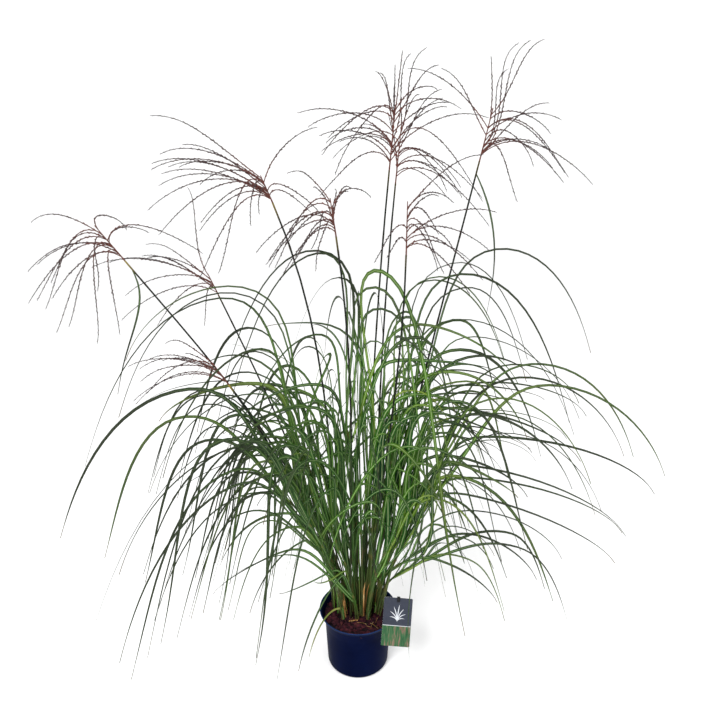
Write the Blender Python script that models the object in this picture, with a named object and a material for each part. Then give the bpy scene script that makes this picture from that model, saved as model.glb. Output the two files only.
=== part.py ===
"""A potted miscanthus grass clump: a moulded nursery pot full of bark growing medium, a card label
on its stake, leafy shoots, and flowering shoots with a fingered head on each.

Metres, +Z up. The origin is under the middle of the pot, and the label side faces -Y.
Azimuths are in degrees: 0 is +X, 90 is +Y, 180 is -X and 270 is -Y."""

import bpy
import bmesh
import numpy as np
from math import cos, pi, radians, sin, sqrt, tau
from mathutils import Matrix, Vector
from mathutils.kdtree import KDTree

CM = 0.01
FIT_GAP = 0.0003

# The pot
POT_HEIGHT = 0.160
RIM_RADIUS = 0.095
WALL = 0.0018
POT_SIDES = 28
BASE_RADIUS = 0.066
FOOT_ROUND = 0.010
DRAIN_HOLES = 8
DRAIN_RADIUS = 0.006
DRAIN_RING = 0.054

# The growing medium
SOIL_TOP = 0.143
SOIL_SIDES = POT_SIDES

# The label and its stake
LABEL_WIDTH = 0.068
LABEL_HEIGHT = 0.115
LABEL_THICK = 0.0010
LABEL_TOP = (0.0970, -0.0500, 0.2310)
LABEL_LEAN = radians(-24)
LABEL_TILT = radians(4.5)
LABEL_CORNER = 0.003
STAKE_FOOT = (0.0660, -0.0360)
STAKE_RADIUS = 0.0016
JAW_WIDTH = 0.007
JAW_THICK = 0.0020
JAW_LENGTH = 0.010

# The clump: the shoots stand in an ellipse, a little behind the middle of the pot
CLUMP_CENTRE = (0.0, 0.022)
CLUMP_RADII = (0.067, 0.050)
CULM_RADIUS = 0.0023
BLADE_WIDTH = 0.0074
BLADE_THICK = 0.0018
STEM_RADIUS = 0.0020
NECK_RADIUS = 0.0014
RACHIS_RADIUS = 0.0017
RACEME_RADIUS = 0.0014
SPARE = 0.0008
SPACING = 0.003
SEED = 11

# The leading leaf of each shoot: its azimuth, then how far its crown and its tip are out from the
# pot's axis and up from the ground, in centimetres. The shoot itself grows towards that leaf.
LEAVES = (
    (200, 28, 100, 57, 68), (190, 35, 79, 66, 45), (204, 34, 71, 49, 40), (188, 37, 72, 58, 37),
    (222, 33, 76, 68, 37), (208, 29, 64, 55, 19), (214, 34, 74, 47, 27), (184, 27, 70, 42, 28),
    (218, 20, 73, 50, 41), (226, 23, 62, 32, 16), (211, 22, 51, 41, 30), (194, 12, 60, 23, 26),
    (234, 11, 56, 30, 17), (240, 8, 31, 26, 18), (178, 33, 74, 49, 48), (219, 10, 108, 33, 76),
    (345, 22, 76, 39, 41), (322, 6, 104, 30, 24), (301, 25, 61, 23, 14), (1, 27, 64, 69, 48),
    (7, 38, 80, 66, 54), (354, 40, 79, 67, 58), (348, 22, 57, 46, 26), (340, 33, 51, 50, 37),
    (334, 25, 47, 42, 36), (11, 29, 106, 54, 80), (352, 25, 97, 54, 61), (18, 30, 70, 55, 58),
    (262, 9, 88, 22, 62), (284, 14, 82, 30, 58), (248, 16, 78, 34, 55),
    (60, 20, 86, 44, 50), (90, 18, 92, 42, 55), (118, 22, 80, 48, 42), (146, 24, 88, 50, 50),
    (34, 26, 78, 52, 44),
)

# The flowering shoots, in centimetres: where the stem leans to, its neck, the top of the head, and
# the tips of its longest racemes measured from the middle of the head. A last row of five numbers,
# if there is one, is the flag leaf below the neck, given in the same way as the leaves above.
FLOWERS = (
    ((-6, 2, 48), (-46, -3, 105), (-51, -3, 112),
     ((-19, 10, 2), (-15, -6, -10), (-15, 4, -20), (3, -10, -15), (17, 4, -3), (8, -14, 6)),
     (184, 47, 103, 51, 76)),
    ((-6, 0, 50), (-16, -6, 117), (-18, -6, 122),
     ((-20, 0, 13), (-24, 6, -5), (-13, -4, -16), (-1, -16, -3), (9, 10, 10), (11, -8, -4)), None),
    ((-2, -2, 50), (-4, -12, 112), (-5, -12, 119),
     ((-9, 12, 6), (-15, 6, -8), (-9, -8, -9), (-3, -14, -2), (7, 14, 1)), None),
    ((-8, 5, 42), (-31, 12, 93), (-33, 12, 98),
     ((-16, 8, 7), (-26, 0, 4), (-19, -6, -6), (0, -12, -5), (-5, 6, 20)), None),
    ((-8, 0, 38), (-27, -5, 79), (-30, -5, 84),
     ((-20, 4, 0), (-14, -8, 2), (-21, 8, -11), (-14, 12, 2)), None),
    ((2, 1, 50), (6, 0, 122), (7, 0, 134),
     ((2, 8, 15), (7, -10, 13), (-2, 14, 11), (-17, -6, 5), (-13, -14, -8), (19, 8, 3)), None),
    ((4, 5, 50), (8, 15, 117), (9, 15, 129),
     ((19, 6, -10), (12, -10, -5), (20, 0, -15), (-14, 10, -2), (5, 14, 11)), None),
    ((4, -1, 50), (9, -10, 108), (9, -10, 118),
     ((12, -6, 14), (16, 4, -5), (11, -8, -10), (4, -16, 3), (-6, -8, -4)), None),
    ((7, 3, 46), (24, 5, 123), (26, 5, 133),
     ((1, 6, 14), (8, -6, 17), (-15, 4, 12), (11, -12, 4), (23, 4, -10), (4, -14, -10), (13, 14, -8)),
     (4, 27, 120, 27, 92)),
)


# ---- Scene and finishes ----

def clear_scene():
    for thing in list(bpy.data.objects):
        bpy.data.objects.remove(thing, do_unlink=True)


def finish(name, colour, roughness):
    """A plain Principled material."""
    material = bpy.data.materials.new(name)
    material.use_nodes = True
    shader = material.node_tree.nodes["Principled BSDF"]
    shader.inputs["Base Color"].default_value = (*colour, 1.0)
    shader.inputs["Roughness"].default_value = roughness
    return material


def add_object(name, mesh, material):
    thing = bpy.data.objects.new(name, mesh)
    bpy.context.scene.collection.objects.link(thing)
    mesh.materials.clear()
    mesh.materials.append(material)
    return thing


def mesh_from(builder):
    """A mesh from a bmesh, with every face turned outwards."""
    bmesh.ops.recalc_face_normals(builder, faces=builder.faces)
    mesh = bpy.data.meshes.new("shape")
    builder.to_mesh(mesh)
    builder.free()
    return mesh


def combine(name, body, others, material, operation="UNION"):
    """One solid from a mesh and others added to it or cut from it, worked out once."""
    whole = add_object(name, body, material)
    helpers = []
    for number, other in enumerate(others):
        helper = add_object(f"{name}_helper_{number}", other, material)
        helper.hide_render = True
        helper.display_type = "WIRE"
        boolean = whole.modifiers.new("Boolean", "BOOLEAN")
        boolean.operation = operation
        boolean.object = helper
        helpers.append(helper)
    graph = bpy.context.evaluated_depsgraph_get()
    result = bpy.data.meshes.new_from_object(whole.evaluated_get(graph))
    whole.modifiers.clear()
    whole.data = result
    result.name = name
    for helper in helpers:
        bpy.data.objects.remove(helper)
    return whole


# ---- Curves ----

def bezier(points, steps):
    """Points along a Bezier curve of any order, both ends included."""
    curve = []
    for t in np.linspace(0.0, 1.0, steps + 1):
        row = [np.array(point, float) for point in points]
        while len(row) > 1:
            row = [a + (b - a) * t for a, b in zip(row, row[1:])]
        curve.append(row[0])
    return np.array(curve)


def unit(vector):
    return np.array(vector, float) / np.linalg.norm(vector)


def heading(azimuth):
    return np.array((cos(radians(azimuth)), sin(radians(azimuth)), 0.0))


def samples(path):
    """Points every few millimetres along a path of straight stretches."""
    dense = []
    for a, b in zip(path, path[1:]):
        count = max(2, int(np.linalg.norm(b - a) / SPACING) + 1)
        dense.extend(a + (b - a) * t for t in np.linspace(0.0, 1.0, count, endpoint=False))
    dense.append(path[-1])
    return dense


def leaf_path(start, along, leaf, rise_steps, fall_steps):
    """A leaf that leaves its shoot along a direction, crowns, and hangs to its tip."""
    azimuth, crown_out, crown_up, tip_out, tip_up = leaf
    out = heading(azimuth)
    crown = out * crown_out * CM + np.array((0, 0, crown_up * CM))
    tip = out * tip_out * CM + np.array((0, 0, tip_up * CM))
    rise = np.linalg.norm(crown - start)
    run = (tip_out - crown_out) * CM
    fall = (crown_up - tip_up) * CM
    up_side = bezier((start, start + along * rise * 0.45, crown - out * rise * 0.30, crown), rise_steps)
    hang = tip + unit(np.array((0, 0, 1)) - out * 0.35) * fall * 0.40
    down_side = bezier((crown, crown + out * max(run * 0.55, 0.03), hang, tip), fall_steps)
    return np.vstack((up_side, down_side[1:]))


# ---- Room between the shoots ----

class Room:
    """Keeps the pieces clear of each other: it knows where the finished ones run, how wide they are,
    and whose they are. Paths of one owner may touch, because they become one solid."""

    def __init__(self):
        self.points = {}
        self.trees = {}

    def fill(self, path, half_width, owner):
        points = self.points.setdefault(half_width, [])
        points.extend((spot, owner) for spot in samples(path))
        tree = KDTree(len(points))
        for index, (spot, _) in enumerate(points):
            tree.insert(spot, index)
        tree.balance()
        self.trees[half_width] = tree

    def is_clear(self, path, half_width, owner):
        for other, tree in self.trees.items():
            points = self.points[other]
            for spot in samples(path):
                near = tree.find_range(spot, half_width + other + SPARE)
                if any(points[index][1] != owner for _, index, _ in near):
                    return False
        return True


# ---- Limbs: culms, blades, stems and racemes ----

def limb(path, across, half_width, half_thick, sides, pointed=True, flat_foot=False):
    """A closed tapering limb along a path. The size functions take how far along it is, 0 to 1, and
    across is the direction of its width. A flat foot is cut off level, as it stands on the medium."""
    builder = bmesh.new()
    rings = []
    length = np.concatenate(([0.0], np.cumsum(np.linalg.norm(np.diff(path, axis=0), axis=1))))
    tangents = np.gradient(path, axis=0)
    if flat_foot:
        tangents[0] = (0.0, 0.0, 1.0)
    last = len(path) - 1
    for index in range(last if pointed else last + 1):
        along = unit(tangents[index])
        width_way = unit(across - along * np.dot(across, along))
        thick_way = np.cross(along, width_way)
        share = length[index] / length[-1]
        ring = []
        for side in range(sides):
            angle = tau * side / sides
            spot = path[index] + width_way * half_width(share) * cos(angle)
            spot = spot + thick_way * half_thick(share) * sin(angle)
            ring.append(builder.verts.new(spot))
        rings.append(ring)
    for low, high in zip(rings, rings[1:]):
        for side in range(sides):
            after = (side + 1) % sides
            builder.faces.new((low[side], low[after], high[after], high[side]))
    builder.faces.new(reversed(rings[0]))
    if pointed:
        tip = builder.verts.new(path[last])
        for side in range(sides):
            builder.faces.new((rings[-1][side], rings[-1][(side + 1) % sides], tip))
    else:
        builder.faces.new(rings[-1])
    bmesh.ops.triangulate(builder, faces=builder.faces)
    return mesh_from(builder)


def blade_width(share):
    """Half the width of a side blade: narrow where it leaves the culm, then broad, then a long taper."""
    opening = min(1.0, 0.30 + share * 4.5)
    taper = min(1.0, 1.35 - share * 1.15)
    return BLADE_WIDTH / 2 * opening * taper


def blade_thick(share):
    return BLADE_THICK / 2 * (1.15 - share * 0.5)


def blade(path, azimuth):
    return limb(path, heading(azimuth + 90), blade_width, blade_thick, 3)


# ---- The pot, its medium, its label and the stake ----

def pot_outline():
    """Half the pot's outer section, from the foot to the lip: radius and height."""
    outline = []
    for step in range(3):
        angle = -pi / 2 + step * pi / 4
        outline.append((BASE_RADIUS + FOOT_ROUND * cos(angle), FOOT_ROUND * (1 + sin(angle))))
    outline += [(0.0810, 0.118), (0.0855, 0.144), (0.0925, 0.1565)]
    outline.append((RIM_RADIUS, POT_HEIGHT - 0.0014))
    return outline


def inner_radius(height, gap=0.0):
    """The pot's inside radius at a height."""
    outline = pot_outline()
    heights = [spot[1] for spot in outline]
    radii = [spot[0] for spot in outline]
    return float(np.interp(height, heights, radii)) - WALL - gap


def turned(outline, sides):
    """A solid of revolution from a closed outline whose ends are on the axis."""
    builder = bmesh.new()
    rings = []
    for radius, height in outline:
        if radius == 0.0:
            rings.append([builder.verts.new((0.0, 0.0, height))])
            continue
        ring = []
        for side in range(sides):
            angle = tau * side / sides
            ring.append(builder.verts.new((radius * cos(angle), radius * sin(angle), height)))
        rings.append(ring)
    for low, high in zip(rings, rings[1:]):
        for side in range(sides):
            after = (side + 1) % sides
            corners = [low[side % len(low)], low[after % len(low)]]
            corners += [high[after % len(high)], high[side % len(high)]]
            builder.faces.new(list(dict.fromkeys(corners)))
    bmesh.ops.triangulate(builder, faces=builder.faces)
    return mesh_from(builder)


def drain_hole(angle):
    """An upright peg that cuts one drainage hole."""
    builder = bmesh.new()
    spot = Vector((DRAIN_RING * cos(angle), DRAIN_RING * sin(angle), 0.0))
    bmesh.ops.create_cone(builder, segments=8, radius1=DRAIN_RADIUS, radius2=DRAIN_RADIUS,
                          depth=4 * WALL + 0.004, cap_ends=True, matrix=Matrix.Translation(spot))
    return mesh_from(builder)


def make_pot(material):
    outline = [(0.0, 0.0), *pot_outline()]
    outline.append((RIM_RADIUS - 0.0004, POT_HEIGHT))
    outline.append((RIM_RADIUS - WALL, POT_HEIGHT - 0.0004))
    for height in (0.1555, 0.144, 0.118, FOOT_ROUND + WALL):
        outline.append((inner_radius(height), height))
    outline += [(BASE_RADIUS - 0.001, WALL), (0.0, WALL)]
    holes = [drain_hole(tau * (number + 0.5) / DRAIN_HOLES) for number in range(DRAIN_HOLES)]
    return combine("pot", turned(outline, POT_SIDES), holes, material, "DIFFERENCE")


def make_medium(material):
    outline = [(0.0, WALL + FIT_GAP), (BASE_RADIUS - 0.0018, WALL + FIT_GAP)]
    for height in (FOOT_ROUND + WALL, 0.118, SOIL_TOP):
        outline.append((inner_radius(height, 2 * FIT_GAP), height))
    outline.append((0.0, SOIL_TOP))
    return combine("growing_medium", turned(outline, SOIL_SIDES), [], material)


def label_frame():
    """Places the label: its origin is the middle of its top edge, and it leans back over the pot's lip."""
    turn = Matrix.Rotation(LABEL_LEAN, 4, "X") @ Matrix.Rotation(LABEL_TILT, 4, "Y")
    return Matrix.Translation(LABEL_TOP) @ turn


def make_label(material):
    """A thin card with rounded corners."""
    builder = bmesh.new()
    corners = []
    for x_side, z_side, first in ((1, 0, 0.0), (-1, 0, 0.25), (-1, -1, 0.5), (1, -1, 0.75)):
        centre_x = x_side * (LABEL_WIDTH / 2 - LABEL_CORNER)
        centre_z = z_side * (LABEL_HEIGHT - 2 * LABEL_CORNER) - LABEL_CORNER
        for step in range(4):
            angle = tau * (first + step / 12)
            spot_x = centre_x + LABEL_CORNER * cos(angle)
            spot_z = centre_z + LABEL_CORNER * sin(angle)
            corners.append(builder.verts.new((spot_x, -LABEL_THICK / 2, spot_z)))
    face = builder.faces.new(corners)
    depth = bmesh.ops.extrude_face_region(builder, geom=[face])["geom"]
    moved = [item for item in depth if isinstance(item, bmesh.types.BMVert)]
    bmesh.ops.translate(builder, verts=moved, vec=(0.0, LABEL_THICK, 0.0))
    bmesh.ops.transform(builder, matrix=label_frame(), verts=builder.verts)
    bmesh.ops.triangulate(builder, faces=builder.faces)
    return combine("plant_label", mesh_from(builder), [], material)


def extruded(outline, width, frame):
    """A flat outline in a frame's XZ plane, thickened evenly to both sides along its Y."""
    builder = bmesh.new()
    face = builder.faces.new([builder.verts.new((x, -width / 2, z)) for x, z in outline])
    depth = bmesh.ops.extrude_face_region(builder, geom=[face])["geom"]
    moved = [item for item in depth if isinstance(item, bmesh.types.BMVert)]
    bmesh.ops.translate(builder, verts=moved, vec=(0.0, width, 0.0))
    bmesh.ops.transform(builder, matrix=frame, verts=builder.verts)
    bmesh.ops.triangulate(builder, faces=builder.faces)
    return mesh_from(builder)


def jaw_outline():
    """An upside-down U that pinches the label's top edge, in the section across the card."""
    card = LABEL_THICK / 2 + FIT_GAP
    outer = card + JAW_THICK
    top = FIT_GAP + JAW_THICK
    return [(-outer, -JAW_LENGTH), (-outer, top), (outer, top), (outer, -JAW_LENGTH),
            (card, -JAW_LENGTH), (card, FIT_GAP), (-card, FIT_GAP), (-card, -JAW_LENGTH)]


def stake_path():
    """From the growing medium inside the lip to the back of the jaws."""
    foot = np.array((*STAKE_FOOT, SOIL_TOP + FIT_GAP))
    behind = LABEL_THICK / 2 + FIT_GAP + JAW_THICK * 0.6
    head = np.array(label_frame() @ Vector((0.0, behind, -JAW_LENGTH / 2)))
    return np.array([foot, head])


def make_stake(material):
    """The label's stake: a thin peg out of the growing medium, with two jaws on its head."""
    at_label = label_frame() @ Matrix.Rotation(pi / 2, 4, "Z")
    jaws = extruded(jaw_outline(), JAW_WIDTH, at_label)
    peg = limb(stake_path(), np.array((1.0, 0.0, 0.0)), lambda share: STAKE_RADIUS,
               lambda share: STAKE_RADIUS, 6, pointed=False, flat_foot=True)
    return combine("label_stake", jaws, [peg], material)


def label_lines():
    """Upright lines on the card, a little apart, which keep the leaves off it."""
    lines = []
    for share in np.linspace(-0.5, 0.5, 5):
        x = LABEL_WIDTH * share
        ends = (Vector((x, 0.0, 0.0)), Vector((x, 0.0, -LABEL_HEIGHT)))
        lines.append(np.array([label_frame() @ end for end in ends]))
    return lines


# ---- The shoots ----

def feet(count):
    """Evenly spread standing places in the clump's ellipse, the innermost first."""
    golden = pi * (3 - sqrt(5))
    places = []
    for number in range(count):
        reach = sqrt((number + 0.5) / count)
        angle = number * golden
        x = CLUMP_CENTRE[0] + CLUMP_RADII[0] * reach * cos(angle)
        y = CLUMP_CENTRE[1] + CLUMP_RADII[1] * reach * sin(angle)
        places.append(np.array((x, y, SOIL_TOP + FIT_GAP)))
    return places


def take_foot(places, wish):
    """Takes the free standing place nearest to a wished one."""
    best = min(range(len(places)), key=lambda index: np.linalg.norm(places[index] - wish))
    return places.pop(best)


def foot_wish(azimuth, crown_out):
    """Where a shoot wants to stand: towards its leading leaf, further out for a wide one."""
    reach = min(1.0, 0.45 + crown_out / 60)
    out = heading(azimuth)
    x = CLUMP_CENTRE[0] + CLUMP_RADII[0] * reach * out[0]
    y = CLUMP_CENTRE[1] + CLUMP_RADII[1] * reach * out[1]
    return np.array((x, y, SOIL_TOP + FIT_GAP))


def culm_curve(foot, leaf):
    """The three control points of a shoot's culm."""
    azimuth, crown_out, crown_up, _, _ = leaf
    rise = crown_up * CM - SOIL_TOP
    top = foot * (0.7, 0.7, 0.0) + heading(azimuth) * crown_out * CM * 0.36
    top[2] = SOIL_TOP + rise * 0.55
    bend = foot + (top - foot) * (0.22, 0.22, 0.0) + np.array((0.0, 0.0, rise * 0.30))
    return foot, bend, top


def jittered(leaf, random, turn, shift):
    """The same leaf, turned a little and moved a little."""
    moves = random.uniform(-1.0, 1.0, 5) * (turn, shift, shift, shift, shift)
    return tuple(np.array(leaf, float) + moves)


def side_leaf(lead, random):
    """A further leaf of a shoot, which arches another way than the leading one. A leaf towards -Y,
    where the clump is open at the foot, is shorter and hangs less."""
    azimuth = lead[0] + random.choice((-1, 1)) * random.uniform(18, 120)
    frontal = max(0.0, -sin(radians(azimuth)))
    crown_out = random.uniform(11, 26) * (1 - 0.35 * frontal)
    crown_up = SOIL_TOP / CM + (lead[2] - SOIL_TOP / CM) * random.uniform(0.66, 0.96)
    tip_out = crown_out + random.uniform(8, 24) * (1 - 0.3 * frontal)
    tip_up = max(crown_up - random.uniform(8, 38) * (1 - 0.3 * frontal), 24 + 24 * frontal)
    crown_up = max(crown_up, tip_up + 4)
    return azimuth, crown_out, min(crown_up, 93), tip_out, min(tip_up, 85)


def shoot_width(split):
    """Half widths of a culm that opens into its leading blade past the split."""
    def half_width(share):
        if share <= split:
            return CULM_RADIUS
        return max(blade_width(0.2 + 0.8 * (share - split) / (1 - split)), 0.0008)

    def half_thick(share):
        if share <= split:
            return CULM_RADIUS
        return blade_thick((share - split) / (1 - split))

    return half_width, half_thick


def find_way(make_path, half_widths, room, owner, tries):
    """The first of many tries whose paths are all clear, or None."""
    for attempt in range(tries):
        found = make_path(attempt)
        if all(room.is_clear(path, width, owner) for path, width in zip(found[0], half_widths)):
            return found
    return None


def grow_shoots(places, room, random):
    """Every shoot's culm and leading leaf, each with its foot where its leaf wants it."""
    shoots = []
    for number, lead in enumerate(LEAVES, 1):
        owner = f"grass_tuft_{number:02d}"
        foot = take_foot(places, foot_wish(lead[0], lead[1]))

        def attempt_lead(attempt):
            leaf = jittered(lead, random, attempt * 0.06, attempt * 0.03)
            controls = culm_curve(foot, leaf)
            culm = bezier(controls, 3)
            along = unit(controls[2] - controls[1])
            return (culm, leaf_path(culm[-1], along, leaf, 3, 4)), controls, leaf

        found = find_way(attempt_lead, (CULM_RADIUS, BLADE_WIDTH / 2), room, owner, 300)
        if found is None:
            print(f"{owner}: no free way for its leading leaf")
            found = attempt_lead(0)
        (culm, main), controls, leaf = found
        room.fill(culm, CULM_RADIUS, owner)
        room.fill(main, BLADE_WIDTH / 2, owner)
        shoots.append({"name": owner, "culm": culm, "main": main, "controls": controls,
                       "leaf": leaf, "sides": []})
    return shoots


def grow_side_leaves(shoots, room, random):
    """Two further leaves for each shoot, started a little way up its culm."""
    for shoot in shoots * 2:
        culm = bezier(shoot["controls"], 40)

        def attempt_side(attempt):
            further = side_leaf(shoot["leaf"], random)
            place = random.integers(20, 38)
            tangent = unit(culm[place + 1] - culm[place])
            away = unit(tangent + heading(further[0]) * 0.42)
            path = leaf_path(culm[place], away, further, 2, 3)
            return (path, ), further[0]

        found = find_way(attempt_side, (BLADE_WIDTH / 2, ), room, shoot["name"], 400)
        if found is None:
            print(f"{shoot['name']}: no free way for a side leaf")
            continue
        (path, ), azimuth = found
        room.fill(path, BLADE_WIDTH / 2, shoot["name"])
        shoot["sides"].append((path, azimuth))


def make_shoot(shoot, material):
    """One solid from a shoot's culm, its leading leaf and its side leaves."""
    whole = np.vstack((shoot["culm"], shoot["main"][1:]))
    lengths = np.linalg.norm(np.diff(whole, axis=0), axis=1)
    split = lengths[:len(shoot["culm"]) - 1].sum() / lengths.sum()
    half_width, half_thick = shoot_width(split)
    body = limb(whole, heading(shoot["leaf"][0] + 90), half_width, half_thick, 4, flat_foot=True)
    sides = [blade(path, azimuth) for path, azimuth in shoot["sides"]]
    return combine(shoot["name"], body, sides, material)


def raceme_path(root, tip, rachis, steps):
    """A raceme that starts along the rachis, bends outwards and nods towards its tip."""
    reach = tip - root
    length = np.linalg.norm(reach)
    out = unit((reach[0], reach[1], 0.0))
    start = unit(rachis * 0.75 + out * 0.65)
    end = unit(out * 0.8 + np.array((0.0, 0.0, reach[2] / length - 0.55)))
    return bezier((root, root + start * length * 0.38, tip - end * length * 0.30, tip), steps)


def make_stem(number, flower, places, room, material):
    """The bare stem of a flowering shoot, with its flag leaf if it has one."""
    lean, neck, top, _, flag = flower
    rachis = unit(top - neck)
    foot = take_foot(places, np.array((lean[0], lean[1], SOIL_TOP + FIT_GAP)))
    controls = (foot, lean, neck - rachis * 0.30 * (neck[2] - foot[2]), neck)
    stem = bezier(controls, 5)
    owner = f"flower_stem_{number}"
    room.fill(stem, STEM_RADIUS, owner)

    def radius(share):
        return STEM_RADIUS + (NECK_RADIUS - STEM_RADIUS) * share

    body = limb(stem, np.array((0.0, 1.0, 0.0)), radius, radius, 5, pointed=False, flat_foot=True)
    extras = []
    if flag:
        fine_stem = bezier(controls, 40)
        away = unit(fine_stem[37] - fine_stem[36] + heading(flag[0]) * 0.02)
        path = leaf_path(fine_stem[36], away, flag, 2, 3)
        room.fill(path, BLADE_WIDTH / 2, owner)
        extras.append(blade(path, flag[0]))
    return combine(owner, body, extras, material)


def make_plume(number, flower, room, random, material):
    """The head of a flowering shoot: a short rachis and its longest racemes."""
    _, neck, top, tips, _ = flower
    owner = f"flower_plume_{number}"
    rachis = unit(top - neck)
    root = neck + rachis * FIT_GAP
    heart = (neck + top) / 2
    core = limb(np.array([root, heart, top]), np.array((0.0, 1.0, 0.0)), lambda share: RACHIS_RADIUS,
                lambda share: RACHIS_RADIUS * (1 - 0.3 * share), 5, pointed=False)
    room.fill(np.array([root, top]), RACHIS_RADIUS, owner)

    def radius(share):
        return RACEME_RADIUS * (0.72 + 0.9 * min(share, 0.3))

    racemes = []
    order = sorted(tips, key=lambda tip: tip[2])
    for place, tip in enumerate(order):
        start = root + (top - root) * (0.12 + 0.76 * place / (len(order) - 1))

        def attempt_raceme(attempt):
            move = random.uniform(-1.0, 1.0, 3) * attempt * 0.0002
            path = raceme_path(start, heart + tip * CM + move, rachis, 4)
            return (path[1:], ), path

        found = find_way(attempt_raceme, (RACEME_RADIUS, ), room, owner, 200)
        if found is None:
            print(f"{owner}: no free way for a raceme")
            continue
        path = found[1]
        room.fill(path, RACEME_RADIUS, owner)
        racemes.append(limb(path, np.cross(path[-1] - path[0], (0.0, 0.0, 1.0)), radius, radius, 3))
    return combine(owner, core, racemes, material)


def in_metres(flower):
    """A flowering shoot's row with its points as arrays in metres."""
    lean, neck, top, tips, flag = flower
    lean, neck, top = (np.array(spot, float) * CM for spot in (lean, neck, top))
    return lean, neck, top, [np.array(tip, float) for tip in tips], flag


def main():
    clear_scene()
    random = np.random.default_rng(SEED)
    make_pot(finish("pot_plastic", (0.013, 0.030, 0.115), 0.42))
    make_medium(finish("bark_medium", (0.050, 0.018, 0.016), 0.95))
    make_label(finish("label_card", (0.10, 0.11, 0.13), 0.40))
    make_stake(finish("stake_plastic", (0.010, 0.010, 0.011), 0.45))
    leaf_finish = finish("grass_leaf", (0.085, 0.180, 0.035), 0.50)
    stem_finish = finish("flower_stem", (0.030, 0.045, 0.022), 0.50)
    plume_finish = finish("flower_plume", (0.190, 0.095, 0.080), 0.80)
    room = Room()
    rim = [np.array((RIM_RADIUS * cos(a), RIM_RADIUS * sin(a), POT_HEIGHT)) for a in np.linspace(0, tau, 65)]
    room.fill(rim, WALL, "pot")
    room.fill(stake_path(), STAKE_RADIUS, "label_stake")
    for line in label_lines():
        room.fill(line, LABEL_WIDTH / 8, "plant_label")
    places = feet(len(LEAVES) + len(FLOWERS))
    flowers = [in_metres(flower) for flower in FLOWERS]
    for number, flower in enumerate(flowers, 1):
        make_stem(number, flower, places, room, stem_finish)
    for number, flower in enumerate(flowers, 1):
        make_plume(number, flower, room, random, plume_finish)
    shoots = grow_shoots(places, room, random)
    grow_side_leaves(shoots, room, random)
    for shoot in shoots:
        make_shoot(shoot, leaf_finish)


main()
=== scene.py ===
"""The looks of a potted miscanthus grass clump: arching leaves, flowering stems with fingered heads,
a moulded nursery pot of bark growing medium, and a printed card label on its stake.

Metres, +Z up. The origin is under the middle of the pot, and the label side faces -Y. Azimuths are
in degrees: 0 is +X, 90 is +Y, 180 is -X and 270 is -Y."""

from math import cos, pi, radians, sin, sqrt, tau

import bmesh
import bpy
import numpy as np
from mathutils import Matrix, Vector, noise
from mathutils.kdtree import KDTree


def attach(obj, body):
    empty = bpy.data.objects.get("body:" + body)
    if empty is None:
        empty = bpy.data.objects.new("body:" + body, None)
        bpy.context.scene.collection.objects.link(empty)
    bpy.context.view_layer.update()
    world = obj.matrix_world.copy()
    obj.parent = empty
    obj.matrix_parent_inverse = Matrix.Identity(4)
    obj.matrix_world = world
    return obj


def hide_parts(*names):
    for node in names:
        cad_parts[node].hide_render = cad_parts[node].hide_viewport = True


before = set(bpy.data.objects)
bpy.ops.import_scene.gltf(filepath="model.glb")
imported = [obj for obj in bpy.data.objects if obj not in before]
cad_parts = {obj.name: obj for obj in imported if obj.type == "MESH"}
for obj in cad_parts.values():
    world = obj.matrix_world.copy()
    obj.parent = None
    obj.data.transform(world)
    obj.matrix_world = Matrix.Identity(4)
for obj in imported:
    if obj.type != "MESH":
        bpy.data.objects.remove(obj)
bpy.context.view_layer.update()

CM = 0.01
FIT_GAP = 0.0003

# The pot and what stands in it, as in the part
POT_HEIGHT = 0.160
RIM_RADIUS = 0.095
WALL = 0.0018
BASE_RADIUS = 0.066
FOOT_ROUND = 0.010
DRAIN_HOLES = 8
DRAIN_RADIUS = 0.006
DRAIN_RING = 0.054
SOIL_TOP = 0.143
LABEL_WIDTH = 0.068
LABEL_HEIGHT = 0.115
LABEL_THICK = 0.0010
LABEL_TOP = (0.0970, -0.0500, 0.2310)
LABEL_LEAN = radians(-24)
LABEL_TILT = radians(4.5)
LABEL_CORNER = 0.003
STAKE_FOOT = (0.0660, -0.0360)
STAKE_RADIUS = 0.0016
JAW_WIDTH = 0.007
JAW_THICK = 0.0020
JAW_LENGTH = 0.010

# The clump, as in the part
CLUMP_CENTRE = (0.0, 0.022)
CLUMP_RADII = (0.067, 0.050)
CULM_RADIUS = 0.0023
BLADE_WIDTH = 0.0074
STEM_RADIUS = 0.0020
NECK_RADIUS = 0.0014
RACHIS_RADIUS = 0.0017
RACEME_RADIUS = 0.0014
SPARE = 0.0008
SPACING = 0.003
CULM_STEPS = 40
RACEME_TRIES = 200
LEAD_TRIES = 300
SIDE_TRIES = 400
SEED = 11

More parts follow.
